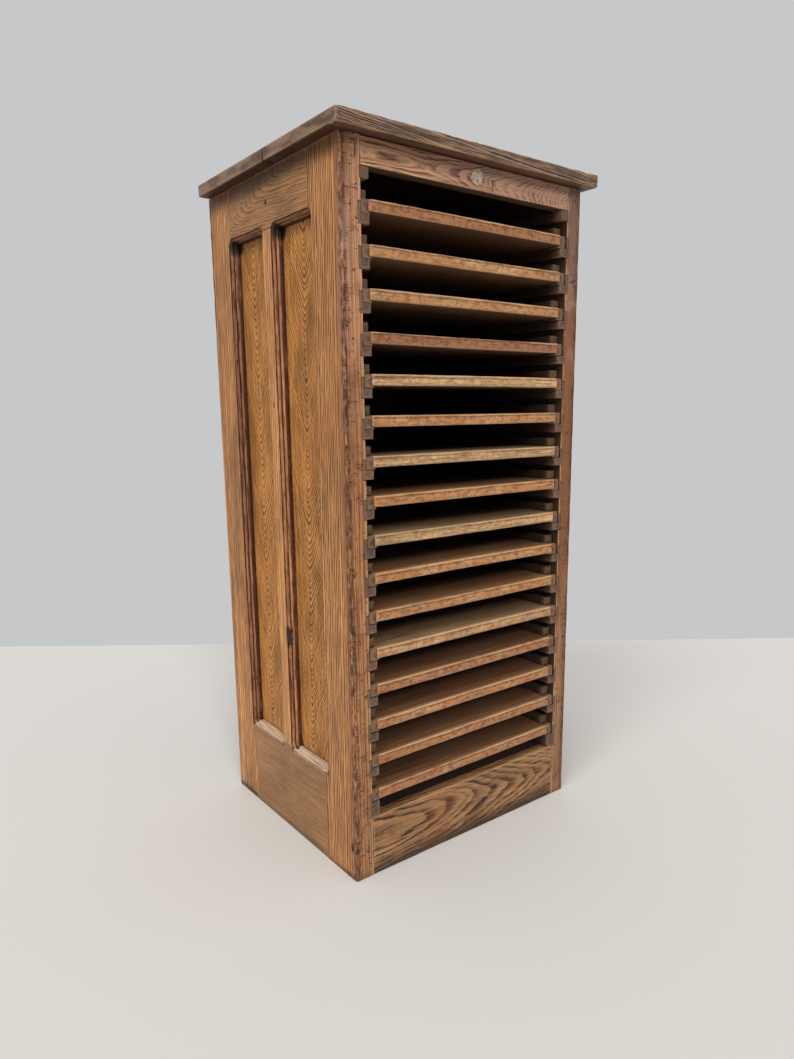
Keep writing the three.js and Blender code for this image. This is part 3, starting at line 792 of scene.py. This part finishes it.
def post_oak():
    """Straight-grained posts: golden sides, rubbed and pinkish fronts, dirt along the arris,
    painted shade on the right-hand front.
    """
    places = cabinet_places()
    oak = Oak("post_oak", "post_light", "post_dark", ring=5.2, pith=20, drift=3.5, jag=0.65,
              contrast=1.75, wear=0.35)
    height = oak.at[Z]
    front = oak.faces(Y, -1)
    from_front = oak.at[Y] - places.front
    from_side = oak.from_side()
    pinker = height.between(0.5, 1.1) * 0.4 + 0.25
    oak.tint(from_front.between(20 * MM, 8 * MM) * pinker, "stile_tint")
    beside = oak.faces(X)
    broad = oak.texture((40, 40, 2), 2).between(0.35, 0.65)
    oak.tint(beside * from_front.between(26 * MM, 7 * MM) * (broad * 0.4 + 0.25), "handled_and_shade")
    oak.tint(beside * broad * 0.16, "handled_and_shade")
    streaks = oak.texture((150, 150, 3), 3).between(0.5, 0.64)
    oak.tint(front * streaks * 0.55, "post_dark")
    oak.tint(front * height.between(0.75, 0.1) * 0.42, "foot")
    mottled = oak.texture((26, 26, 30), 4, 0.6)
    oak.tint(front * height.within(0.4, 0.6, 0.75, 1) * (mottled * 0.65 + 0.15), "handled_and_shade")
    oak.tint(front * mottled.between(0.5, 0.72) * 0.5, "stain")
    # Painted shade on the front of the right-hand post: greyish red-brown, strongest at the top,
    # and red-brown in the middle.
    on_right = (oak.at[X] - places.middle).between(0, 1 * MM) * front
    oak.tint(on_right * (height.between(0.85, 1.05) * 0.5 + 0.3), "right_post_shade")
    oak.tint(on_right * height.within(0.35, 0.55, 0.92, 1.06) * 0.72, "handled_and_shade")

    from_arris = from_front.most(from_side)
    ticks = oak.texture((240, 240, 60), 3, 0.65).between(0.36, 0.6)
    oak.tint(from_arris.between(15 * MM, 3 * MM) * ticks * 0.8, "crevice_and_shade")
    ragged = oak.texture((60, 60, 150), 4, 0.75)
    chipped = (ragged * 8 * MM - from_arris - 2.6 * MM).between(0, 1 * MM)
    oak.tint(chipped * 0.8, "grime_and_shade")
    oak.dent(chipped, 0.8)
    ripple = abs(oak.texture((13, 13, 21), 4, 0.6) - 0.5)
    cracks = ripple.between(0.008, 0.003) * mottled.between(0.47, 0.55) * front
    nicks = oak.texture((80, 80, 300), 3, 0.6).between(0.63, 0.69) * front
    scored = oak.texture((110, 110, 460), 3, 0.6).between(0.55, 0.64) * front
    scored = scored * from_side.between(26 * MM, 6 * MM) * mottled.between(0.42, 0.55)
    oak.tint(scored * 0.75, "crevice_and_shade")
    greyed = oak.texture((30, 30, 14), 3, 0.6).between(0.48, 0.62)
    oak.tint(front * greyed * height.between(0.7, 1) * 0.4, "purplish")
    oak.tint((cracks + nicks).clamped() * 0.85, "grime_and_shade")
    oak.dent((cracks + nicks).clamped(), 0.8)
    bare = from_side.between(32 * MM, 33.5 * MM) * front * mottled.between(0.4, 0.5)
    oak.tint(bare * 0.55, "rubbed")
    oak.mark("post")
    crevices(oak)
    oak.darken_inner_face()
    return oak.done()


def crevices(oak, strength=0.95, grain=Z):
    """Dirt and painted shade in the quirks of the moulding round the panels, by depth from the
    outer face.
    """
    depth = oak.from_side()
    inside, corners = 0, 0
    for low, high in cabinet_places().panels:
        near = 1
        for axis in (Y, Z):
            half, centre = (high[axis] - low[axis]) / 2, (high[axis] + low[axis]) / 2
            near = abs(oak.at[axis] - centre).between(half + 1.5 * MM, half + 0.5 * MM) * near
        inside = near + inside
        corners = top_corner(oak, high) + corners
    patchy = oak.texture((40, 40, 22), 3).between(0.25, 0.5)
    # Darker bands at the quirk, the groove and the bottom of the moulding: old dirt with painted
    # shade, the bottom one also painted shadow where the moulding meets the panel.
    quirk = depth.within(0.1 * MM, 0.4 * MM, 1.4 * MM, 2.2 * MM)
    groove = depth.within(5.4 * MM, 6 * MM, 8 * MM, 8.8 * MM)
    bottom = depth.between(11.6 * MM, 13 * MM)
    dirt = (quirk * 0.9 + groove + bottom).clamped() * (patchy * 0.45 + 0.55)
    streaks = oak.texture([22 if axis == grain else 300 for axis in (X, Y, Z)], 3, 0.6)
    oak.tint(inside * depth.between(0.5 * MM, 2 * MM) * streaks.between(0.6, 0.35), "moulding")
    oak.tint(inside * streaks.between(0.48, 0.58) * 0.7, "crevice_and_shade")
    oak.tint(inside * dirt * strength, "crevice_and_shade")
    # Painted shade with dirt in the hollow at each panel's upper rear corner.
    oak.tint((inside * corners * depth.between(0, 3 * MM)).clamped() * 0.95, "grime_and_shade")
    return inside


def top_corner(oak, high):
    """1 in the hollow at a panel's upper rear corner, where dirt has gathered and shade falls:
    painted shade with dirt.
    """
    reach_y = oak.at[Y] - (high.y - 9 * MM)
    reach_z = oak.at[Z] - (high.z - 12 * MM)
    reach = (reach_y * reach_y * 1.6 + reach_z * reach_z) ** 0.5
    ragged = oak.texture((90, 90, 60), 3)
    return (reach - ragged * 14 * MM).between(14 * MM, 1 * MM)


def side_oak(kind, wood, pale=0, grain=Y, **figure):
    """Oak of a rail or mullion at the sides, with dirt and painted shade in its moulding, or a
    painted highlight on the moulding's upward faces where pale.
    """
    oak = Oak(f"{kind}_oak", f"{wood}_light", f"{wood}_dark", wear=0.3, **figure)
    inside = crevices(oak, 0.95 - pale * 0.6, grain)
    if pale:
        # Painted highlight on the upward faces of the moulding.
        upward = oak.facing[Z].between(0.2, 0.6)
        oak.tint(inside * upward * pale, "moulding_highlight")
        lines = oak.texture((420, 16, 420), 3, 0.6).between(0.5, 0.6)
        oak.tint(inside * upward * lines * 0.5, "crevice_and_shade")
    oak.darken_inner_face()
    if pale:
        oak.tint(0.14, "grime_and_shade")
    oak.mark(kind)
    return oak


def mullion_oak():
    """The mullions: a burnt spot on the moulding of the left one."""
    oak = side_oak("mullion", "post", grain=Z, ring=5.6, pith=20, contrast=1.1)
    place = (cabinet_places().left + 4 * MM, -1 * MM, 392 * MM)
    patchy = oak.texture((260, 260, 40), 3).between(0.34, 0.5)
    oak.tint(oak.spot(place, 27 * MM, (0.5, 0.24, 1)) * (patchy * 0.6 + 0.35), "grime_and_shade")
    return oak.done()


def front_top_rail_oak():
    """The upper front rail: broad uneven figure, a dried residue, painted shadow with some dirt
    towards the slab, and painted shade on its underside.
    """
    places = cabinet_places()
    low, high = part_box("front_top_rail")
    oak = Oak("front_top_rail_oak", "front_light", "front_dark", ring=4.6, pith=20, drift=9,
              swell=12, jag=1.3, contrast=1.2, dirt=0.55, wear=0.5)
    rightwards = (oak.at[X] - places.middle) / places.half
    greyer = rightwards.between(-0.8, 0.3) * 0.6 + 0.12
    oak.tint(oak.faces(Y, -1) * (1 - oak.band * 0.7) * greyer, "purplish")
    # Painted shade on the underside.
    oak.tint(oak.facing[Z].between(-0.4, -0.8) * 0.9, "painted_shade")
    patch = oak.spot((places.middle + 5 * MM, places.front, (low.z + high.z) / 2), 17 * MM)
    flakes = oak.texture((260, 260, 260), 3).between(0.44, 0.56)
    oak.tint(patch * (flakes * 0.75 + 0.1), "residue")
    oak.tint(patch.within(0, 0.3, 0.4, 0.7) * 0.4, "grime_and_shade")
    return oak.done()


def front_bottom_rail_oak():
    """The lower front rail: bold figure, and dirt towards the floor."""
    oak = Oak("front_bottom_rail_oak", "bold_light", "bold_dark", ring=7, pith=30, drift=9,
              swell=9, jag=1.5, contrast=1.15, pores=0.8, dirt=0.6, wear=0.4)
    soiled = oak.texture((30, 30, 60), 3)
    near_floor = (oak.at[Z] - soiled * 40 * MM).between(16 * MM, -10 * MM)
    oak.tint(near_floor * 0.6, "grime_and_shade")
    return oak.done()


def top_oak():
    """The top: dull brown, its front edge weathered into ridges, its end grain dark, its underside
    in painted shade.
    """
    oak = Oak("top_oak", "top_light", "top_dark", ring=2.9, pith=40, drift=6, jag=0.9, contrast=1,
              dirt=0.6, wear=0.8)
    front = oak.faces(Y, -1)
    patches = oak.texture((12, 60, 160), 3).between(0.3, 0.6)
    oak.tint(front * (1 - oak.band) * (patches * 0.6 + 0.2), "top_edge")
    oak.tint(front * oak.band * 0.7, "grime_and_shade")
    oak.dent(front * oak.band, 1.3)
    # Painted shade on the underside, from just ahead of the case's front inwards.
    behind = (oak.at[Y] - cabinet_places().front).between(-12 * MM, -4 * MM)
    oak.tint(oak.facing[Z].between(-0.4, -0.8) * (behind * 0.8), "crevice_and_shade")
    ends = oak.faces(X)
    oak.tint(ends * 0.5, "top_edge")
    blacker = oak.texture((20, 20, 60), 3).between(0.45, 0.65)
    oak.tint(ends * (1 - oak.worn) * (blacker * 0.65 + 0.02), "top_dark")
    oak.tint(oak.attribute("seam").between(2.4 * MM, 0.8 * MM) * 0.95, "grime_and_shade")
    return oak.done(1.1 * MM)


# Pieces of the case


class CABINET_OT_posts(bpy.types.Operator):
    """Four posts, notched for the runners."""

    bl_idname = "cabinet.posts"
    bl_label = "Posts"
    bl_options = {"REGISTER", "UNDO"}

    def execute(self, context):
        places = cabinet_places()
        material = post_oak()
        ends = (places.front - 10 * MM, places.back_face + 0.05 * MM)
        seed = 0
        for side in SIDES:
            runners = [runner_outline(side, number, sizes().fit) for number in (0, *TRAYS)]
            for end, across in (("front", 0.17), ("rear", 0.21)):
                node = f"{side}_{end}_post"
                cutters = [extruded(runner, Y, *ends) for runner in runners]
                worked = carved(from_node(node), cutters)
                low, high = bounds_of(worked)
                ease(worked, sizes().post_arris, 2, along(Z, 300 * MM), 30)
                ease(worked, sizes().notch_arris, 1, on_plane(Y, places.front), 60)
                seed += 1
                work(worked, low, high, Z, Lay(X, across, rise=0.012), seed, wear=0.8)
                add_piece(node, worked, material)
        return {"FINISHED"}


class CABINET_OT_runners(bpy.types.Operator):
    """Seventeen runners a side, let into the posts."""

    bl_idname = "cabinet.runners"
    bl_label = "Runners"
    bl_options = {"REGISTER", "UNDO"}

    def execute(self, context):
        places = cabinet_places()
        oak = Oak("runner_oak", "runner_light", "runner_dark", ring=3.4, pith=12, drift=3, wear=0.3)
        oak.outline()
        oak.darken_inwards()
        material = oak.done()
        ends = (places.front - 0.2 * MM, places.back_face - 0.4 * MM)
        for side in SIDES:
            runners = []
            for number in (0, *TRAYS):
                worked = extruded(runner_outline(side, number), Y, *ends)
                low, high = bounds_of(worked)
                ease(worked, sizes().runner_arris, 2)
                across, depth = math.sin(number * 2.3), math.cos(number * 1.7)
                lay = Lay(Z, 0.02 * across, 0.03 + 0.01 * depth, rise=0.01)
                work(worked, low, high, Y, lay, 20 + number, pitch=30 * MM, wear=0.6)
                runners.append(worked)
            nodes = [f"{side}_front_post", f"{side}_rear_post"]
            add_piece(f"{side}_runners", joined(runners), material, nodes=nodes)
        return {"FINISHED"}


class CABINET_OT_side_rails(bpy.types.Operator):
    """Rails and mullion of each side, with the moulding run round the panels."""

    bl_idname = "cabinet.side_rails"
    bl_label = "Side rails and mullions"
    bl_options = {"REGISTER", "UNDO"}

    def execute(self, context):
        top = side_oak("side_top_rail", "rail", ring=3.6, pith=34, drift=8, jag=0.5, contrast=0.8,
                       streak=0.4)
        bottom = side_oak("side_bottom_rail", "rail", pale=1, ring=4.6, pith=20, drift=4,
                          contrast=0.35, streak=0.34, dirt=0.4)
        kinds = [
            ("top_rail", Y, Lay(X, -0.03, rise=0.24, skew=0.26), top.done(), 15),
            ("bottom_rail", Y, Lay(X, 0.2, rise=0.05, skew=0.05), bottom.done(), 18),
            ("mullion", Z, Lay(X, 0.14, rise=0.014), mullion_oak(), 14),
        ]
        for count, side in enumerate(SIDES):
            outer = on_plane(X, getattr(cabinet_places(), side))
            for kind, grain, lay, material, seed in kinds:
                node = f"{side}_{kind}"
                worked = ease(from_node(node), sizes().side_arris, 1, outer, 60)
                low, high = between_shoulders(node, grain)
                seams = shoulders(node, grain)
                work(worked, low, high, grain, lay, seed + count * 3, wear=0.25, seams=seams)
                add_piece(node, worked, material)
        return {"FINISHED"}


class CABINET_OT_panels(bpy.types.Operator):
    """Four thin panels, plain sawn, with their cathedral figure upright."""

    bl_idname = "cabinet.panels"
    bl_label = "Side panels"
    bl_options = {"REGISTER", "UNDO"}

    def execute(self, context):
        oak = Oak("panel_oak", "panel_light", "panel_dark", ring=5.6, pith=7, drift=6, contrast=1.2,
                  wear=0)
        for _, high in cabinet_places().panels:
            # Painted shade with dirt in the hollow at each panel's upper rear corner.
            oak.tint(top_corner(oak, high) * 0.95, "grime_and_shade")
        oak.darken_inner_face()
        material = oak.done()
        lays = {
            "front": Lay(X, -4.5 * MM, rise=-0.48, skew=0.03),
            "rear": Lay(X, -10.5 * MM, rise=-0.45, skew=0.002),
        }
        seed = 30
        tongue = sizes().tongue
        for side in SIDES:
            for name, lay in lays.items():
                node = f"{side}_{name}_panel"
                low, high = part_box(node)
                board = block(low, high)
                seams = []
                for axis in (Y, Z):
                    for place in (low[axis] + tongue, high[axis] - tongue):
                        slice_at(board, axis, [place - 3 * MM, place, place + 3 * MM])
                        seams.append((axis, place))
                seed += 1
                work(board, low, high, Z, lay, seed, pitch=80 * MM, wear=0, seams=seams)
                add_piece(node, board, material)
        return {"FINISHED"}


def keyhole():
    """The round and the slot of a keyhole, as shapes to cut with."""
    places = cabinet_places()
    right_of_middle, above_edge, into_rail = 39 * MM, 20 * MM, 9 * MM
    radius, slot_length, half_slot, sides = 2 * MM, 16 * MM, 0.9 * MM, 14
    x = places.middle + right_of_middle
    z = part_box("front_top_rail")[0].z + above_edge
    turns = [step * 2 * math.pi / sides for step in range(sides)]
    ring = [(z + radius * math.sin(turn), x + radius * math.cos(turn)) for turn in turns]
    foot = z - slot_length
    slot = [(foot, x - half_slot), (foot, x + half_slot), (z, x + half_slot), (z, x - half_slot)]
    span = (places.front - 2 * MM, places.front + into_rail)
    return [extruded(ring, Y, *span), extruded(slot, Y, *span)]


class CABINET_OT_front_rails(bpy.types.Operator):
    """Rails across the front: the upper one with its keyhole, the lower one boldly figured."""

    bl_idname = "cabinet.front_rails"
    bl_label = "Front rails"
    bl_options = {"REGISTER", "UNDO"}

    def execute(self, context):
        top, bottom = "front_top_rail", "front_bottom_rail"
        rails = [
            (top, carved(from_node(top), keyhole()), Lay(Y, 0.004, 0, -0.2, 0.03, -0.7),
             front_top_rail_oak(), 55),
            (bottom, from_node(bottom), Lay(Y, -0.012, 0.01, 0.15, 0.02, 0.16),
             front_bottom_rail_oak(), 58),
        ]
        for node, board, lay, material, seed in rails:
            low, high = between_shoulders(node, X)
            ease(board, sizes().rail_arris, 2, along(X, 300 * MM), 30)
            work(board, low, high, X, lay, seed, wear=0.6, seams=shoulders(node, X))
            add_piece(node, board, material)
        return {"FINISHED"}


class CABINET_OT_inside(bpy.types.Operator):
    """Back rails, back boards and bottom board, darker than the outside, with painted shade on
    their inner faces.
    """

    bl_idname = "cabinet.inside"
    bl_label = "Back and bottom"
    bl_options = {"REGISTER", "UNDO"}

    def execute(self, context):
        oak = Oak("inside_oak", "inside_light", "inside_dark", ring=4.2, pith=30, drift=6, wear=0.3)
        # Painted shade on the faces inside the case, except those facing down.
        inner = (oak.at[Y] - cabinet_places().back_face).between(5 * MM, -1 * MM)
        oak.tint(inner * (1 - oak.faces(Z, -1)) * 0.9, "painted_shade")
        material = oak.done()
        boards = [("back_top_rail", X, Y), ("back_bottom_rail", X, Y), ("bottom_board", X, Z)]
        boards += [(f"back_board_{number}", Z, Y) for number in range(1, 5)]
        for number, (node, grain, facing) in enumerate(boards):
            low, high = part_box(node)
            worked = ease(from_node(node), sizes().board_arris, 2)
            lay = Lay(facing, 0.03 * math.sin(number * 1.9), 0.01, rise=0.12)
            work(worked, low, high, grain, lay, 51 + number, pitch=30 * MM, wear=0.5)
            add_piece(node, worked, material)
        return {"FINISHED"}


class CABINET_OT_top(bpy.types.Operator):
    """Two boards with their grain across the cabinet, rubbed and weathered along the front."""

    bl_idname = "cabinet.top"
    bl_label = "Top boards"
    bl_options = {"REGISTER", "UNDO"}

    def execute(self, context):
        material = top_oak()
        for number, node in enumerate(("top_front_board", "top_rear_board")):
            low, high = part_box(node)
            free, seam = (low.y, high.y) if number == 0 else (high.y, low.y)

            def at_corner(edge):
                return along(Z)(edge) and abs(edge.verts[0].co.y - free) < 0.1 * MM

            def is_free(edge):
                return along(X)(edge) or not on_plane(Y, seam)(edge)

            worked = ease(block(low, high), sizes().top_corner, 4, at_corner)
            ease(worked, sizes().top_arris, 3, is_free)
            # The box goes on past the seam, which isn't an arris that wears
            beyond = 20 * MM
            if number == 0:
                high.y += beyond
            else:
                low.y -= beyond
            lay = Lay(Z, 0.02 - 0.05 * number, 0.02, rise=0.06)
            work(worked, low, high, X, lay, 61 + number, pitch=9 * MM, seams=[(Y, seam)])
            add_piece(node, worked, material)
        return {"FINISHED"}


# Trays

# How each tray's front looks, from 0 for tan over 0.5 for orange to 1 for brown, from the top down
TRAY_TONES = (
    0.8, 0.3, 0.4, 0.95, 0.0, 0.45, 0.0, 0.45, 0.0, 0.4, 0.45, 0.15, 0.75, 0.65, 0.75, 0.75,
)


def tray_oak():
    """Board of a tray: worn at its front edge, greyish on top, and darker inwards and below in
    painted shade.

    The attribute front holds how far a point lies behind the glued front strip, its share of the
    board's height, and the tone of the tray.
    """
    oak = Oak("tray_oak", "tray_tan", "tray_brown", ring=4.5, pith=30, drift=8, contrast=0.4,
              dirt=0.9, wear=0)
    behind, share, tone = oak.parts(oak.attribute("front", "Vector"))
    patches = oak.texture((14, 14, 14), 3).between(0.3, 0.7)
    oak.tint((tone.between(0, 0.5) * (patches + 0.4)).clamped() * 0.9, "tray_orange")
    oak.tint(tone.between(0.5, 1) * 0.85, "tray_brown")

    front = oak.faces(Y, -1)
    ticks = oak.texture((75, 75, 130), 4, 0.75).between(0.46, 0.6)
    oak.tint(front * ticks * (tone * 0.35 + 0.45), "stain")
    specks = oak.texture((140, 140, 200), 3, 0.7).between(0.62, 0.72)
    oak.tint(front * specks * 0.7, "grime_and_shade")
    oak.dent(front * (specks + ticks * 0.4), 0.6)
    height = share + (oak.texture((16, 16, 120), 3) - 0.5) * 0.35
    oak.tint(height.within(0.68, 0.76, 0.82, 0.9) * front * 0.45, "grime_and_shade")
    oak.tint(height.between(0.3, 0.05) * front * 0.5, "tray_face")

    top = oak.faces(Z, 1)
    under = oak.faces(Z, -1)
    streaks = oak.texture((4, 210, 210), 3, 0.6).between(0.5, 0.68)
    oak.tint(top * tone.between(0.6, 0) * 0.7, "tray_face")
    oak.tint(top * tone.between(0.1, 0.6) * 0.6, "tray_aged")
    oak.tint(top * streaks * 0.5, "grime_and_shade")
    # Painted shade on the top, deeper in from the front, and on the underside.
    oak.tint(top * behind.between(-10 * MM, 95 * MM) * 0.76, "painted_shade")
    oak.tint(under * 0.76, "painted_shade")
    joint = abs(behind).between(1.3 * MM, 0.4 * MM) * (top + under)
    oak.tint(joint * 0.7, "grime_and_shade")
    oak.dent(joint, 0.8)
    rubbed = oak.texture((40, 120, 120), 3).between(0.3, 0.5)
    crest = height.between(0.84, 0.98) * (front + top).between(0.1, 0.5)
    crest = crest * behind.between(-9 * MM, -12 * MM)
    oak.tint(crest * (rubbed * 0.5 + 0.35), "rubbed")
    return oak.done()


def tray_board(node, number):
    """The board of a tray, bowed, and worn at its front edge."""
    low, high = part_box(node)
    strip = sizes().strip_depth

    def at_front_corner(edge):
        return along(Z)(edge) and edge.verts[0].co.y < low.y + 0.1 * MM

    worked = ease(block(low, high), sizes().tray_corner, 3, at_front_corner)
    ease(worked, sizes().tray_arris, 3)
    slice_at(worked, Z, [low.z + (high.z - low.z) * step / 6 for step in range(1, 6)])
    slice_at(worked, Y, [low.y + 3 * MM, low.y + strip, low.y + 2 * strip])
    lay = Lay(Z, 0.05 * math.sin(number * 3.1), 0.02 * math.cos(number * 1.3), rise=0.06)
    bow = sizes().tray_bow * math.sin(number * 2.7)
    work(worked, low, high, X, lay, 70 + number, wear=0.55, bow=bow)
    front = worked.verts.layers.float_vector.new("front")
    for vert in worked.verts:
        share = (vert.co.z - low.z) / (high.z - low.z)
        vert[front] = (vert.co.y - low.y - strip, share, TRAY_TONES[number - 1])
    return worked


def tray_edging(number):
    """Cleats along a board's ends and back, each with a lip under the board, and the rims."""
    low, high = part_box(f"tray_{number:02d}_edging")
    board_low, board_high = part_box(f"tray_{number:02d}_board")
    joint = 0.15 * MM
    rim, cleat = sizes().rim_width, sizes().cleat_width - joint
    under, level = board_low.z - joint, board_high.z - joint
    front, over = board_low.y + sizes().rim_set_back, board_high.z + joint
    left, right = low.x + rim + joint, high.x - rim - joint
    end = [
        (low.z, low.x), (low.z, low.x + rim), (under, low.x + rim), (under, low.x + cleat),
        (level, low.x + cleat), (level, low.x),
    ]
    mirrored = [(z, low.x + high.x - x) for z, x in end]
    back = [
        (high.y, low.z), (high.y - rim, low.z), (high.y - rim, under), (high.y - cleat, under),
        (high.y - cleat, level), (high.y, level),
    ]
    strips = [
        (extruded(end, Y, low.y, high.y), Y),
        (extruded(mirrored, Y, low.y, high.y), Y),
        (extruded(back, X, left, right), X),
        (block(Vector((low.x, front, over)), Vector((low.x + rim, high.y, high.z))), Y),
        (block(Vector((high.x - rim, front, over)), Vector((high.x, high.y, high.z))), Y),
        (block(Vector((left, high.y - rim, over)), Vector((right, high.y, high.z))), X),
    ]
    for count, (worked, grain) in enumerate(strips):
        first, last = bounds_of(worked)
        ease(worked, sizes().cleat_arris, 2)
        across, depth = math.sin(number + count), math.cos(number * 2 + count)
        lay = Lay(Z, 0.02 * across, 0.02 * depth, rise=0.01)
        work(worked, first, last, grain, lay, number * 7 + count, pitch=40 * MM, wear=0.6)
    return joined([worked for worked, _ in strips])


class CABINET_OT_trays(bpy.types.Operator):
    """Sixteen trays: a board with a glued front strip, its cleats, and a low rim on three sides."""

    bl_idname = "cabinet.trays"
    bl_label = "Trays"
    bl_options = {"REGISTER", "UNDO"}

    def execute(self, context):
        board_oak = tray_oak()
        edging = Oak("cleat_oak", "cleat_light", "cleat_dark", ring=3.4, pith=14, drift=3,
                     dirt=0.9, wear=0.35)
        edging.outline()
        edging.darken_inwards()
        edging_oak = edging.done()
        for number in TRAYS:
            body = f"tray_{number:02d}"
            node = f"{body}_board"
            add_piece(node, tray_board(node, number), board_oak, body)
            add_piece(f"{body}_edging", tray_edging(number), edging_oak, body)
        return {"FINISHED"}


# Stage

# The camera stands as the photograph's did: its place, its turn from +Y towards +X, its pitch
# below the horizon and its roll in degrees, and its focal length and shift in the photo's pixels
CAMERA_PLACE = (-0.9067, -1.1983, 0.8025)
CAMERA_YAW, CAMERA_PITCH, CAMERA_ROLL = 37.316, 11.11, -0.625
PHOTO_HEIGHT = 1059
FOCAL_PIXELS = 754.85
CENTRE_RIGHT, CENTRE_DOWN = 4.99, 28.24
SENSOR = 36
# How far ahead of the camera the floor ends, and how far it reaches to the other sides
FLOOR_AHEAD, FLOOR_ROUND = 2.545, 9
# Light from all round, and how much more comes from above
SKY_ROUND, SKY_ABOVE = 0.08, 0.55
# Of each lamp, the way its light comes from, its spread in degrees and its strength
LAMPS = {
    "lamp_front": ((-0.3, -0.84, 0.48), 14, 1.1),
    "lamp_left": ((-0.64, -0.26, 0.72), 26, 1.05),
    "lamp_above": ((-0.1, -0.15, 1), 80, 0.6),
}


def add_camera():
    """The camera, as the photograph's stood."""
    data = bpy.data.cameras.new("camera")
    data.sensor_width = SENSOR
    data.lens = SENSOR * FOCAL_PIXELS / PHOTO_HEIGHT
    data.shift_x = -CENTRE_RIGHT / PHOTO_HEIGHT
    data.shift_y = CENTRE_DOWN / PHOTO_HEIGHT
    data.clip_start, data.clip_end = 0.01, 60
    turns = ((-CAMERA_YAW, "Z"), (90 - CAMERA_PITCH, "X"), (CAMERA_ROLL, "Z"))
    pose = Matrix.Translation(CAMERA_PLACE)
    for degrees, axis in turns:
        pose = pose @ Matrix.Rotation(math.radians(degrees), 4, axis)
    camera = placed("camera", data)
    camera.matrix_world = pose
    bpy.context.scene.camera = camera


def add_floor():
    """A pale floor that ends where the photograph's does, square to the camera's way of looking."""
    yaw = math.radians(CAMERA_YAW)
    ahead = Vector((math.sin(yaw), math.cos(yaw), 0))
    right = Vector((ahead.y, -ahead.x, 0))
    start = Vector((CAMERA_PLACE[0], CAMERA_PLACE[1], 0))
    wide = right * FLOOR_ROUND
    far, near = start + ahead * FLOOR_AHEAD, start - ahead * FLOOR_ROUND
    corners = [far - wide, far + wide, near + wide, near - wide]
    mesh = bpy.data.meshes.new("floor")
    mesh.from_pydata([tuple(corner) for corner in corners], [], [(3, 2, 1, 0)])
    mesh.materials.append(Finish("pale_floor").shade(paint("floor"), 0.6, specular=0.2))
    floor = placed("floor", mesh)


def add_lamps():
    """Soft light from three ways, as from wide lamps far off."""
    for name, (comes_from, spread, strength) in LAMPS.items():
        data = bpy.data.lights.new(name, "SUN")
        data.energy = strength
        data.angle = math.radians(spread)
        lamp = placed(name, data)
        lamp.rotation_euler = Vector(comes_from).to_track_quat("Z", "Y").to_euler()
        lamp.location = Vector(comes_from) * 3


def add_world():
    """Light from all round, and the pale wall where camera, gloss or glass see past."""
    world = bpy.data.worlds.new("studio")
    sky = Finish("studio", world)
    rise = sky.parts(sky.node("ShaderNodeTexCoord"))[Z]
    strength = rise.between(-0.2, 1) * SKY_ABOVE + SKY_ROUND
    light = sky.node("ShaderNodeBackground", None, {"Color": (1, 1, 1), "Strength": strength})
    wall = sky.node("ShaderNodeBackground", None, {"Color": paint("wall"), "Strength": 1})
    path = sky.node("ShaderNodeLightPath").socket.node.outputs
    rays = ("Is Camera Ray", "Is Glossy Ray", "Is Transmission Ray")
    seen, glossy, through = [Number(sky, path[ray]) for ray in rays]
    seen = seen.most(glossy).most(through)
    either = sky.node("ShaderNodeMixShader", None, {0: seen, 1: light, 2: wall})
    sky.end("ShaderNodeOutputWorld", either)
    bpy.context.scene.world = world


class CABINET_OT_stage(bpy.types.Operator):
    """Camera at the photograph's place, pale floor, soft lamps and a plain background."""

    bl_idname = "cabinet.stage"
    bl_label = "Stage"
    bl_options = {"REGISTER", "UNDO"}

    def execute(self, context):
        add_camera()
        add_floor()
        add_world()
        add_lamps()
        context.scene.view_settings.view_transform = "Standard"
        return {"FINISHED"}


# Operators, panel and registration


OPERATORS = (
    CABINET_OT_posts,
    CABINET_OT_runners,
    CABINET_OT_side_rails,
    CABINET_OT_panels,
    CABINET_OT_front_rails,
    CABINET_OT_inside,
    CABINET_OT_top,
    CABINET_OT_trays,
    CABINET_OT_stage,
)


class CABINET_PT_build(bpy.types.Panel):
    """Builds the cabinet's looks, one group of pieces at a time."""

    bl_label = "Printers cabinet"
    bl_space_type = "VIEW_3D"
    bl_region_type = "UI"
    bl_category = "Cabinet"

    def draw(self, context):
        for made in OPERATORS:
            self.layout.operator(made.bl_idname)
        for group in (context.scene.cabinet_sizes, context.scene.cabinet_colours):
            for name in group.__annotations__:
                self.layout.prop(group, name)


CLASSES = [CabinetSizes, CabinetColours, *OPERATORS, CABINET_PT_build]


def register():
    for made in CLASSES:
        bpy.utils.register_class(made)
    bpy.types.Scene.cabinet_sizes = PointerProperty(type=CabinetSizes)
    bpy.types.Scene.cabinet_colours = PointerProperty(type=CabinetColours)


def unregister():
    del bpy.types.Scene.cabinet_colours
    del bpy.types.Scene.cabinet_sizes
    for made in reversed(CLASSES):
        bpy.utils.unregister_class(made)


def main():
    """Builds everything."""
    register()
    for made in OPERATORS:
        group, name = made.bl_idname.split(".")
        getattr(getattr(bpy.ops, group), name)()


if __name__ == "__main__":
    main()
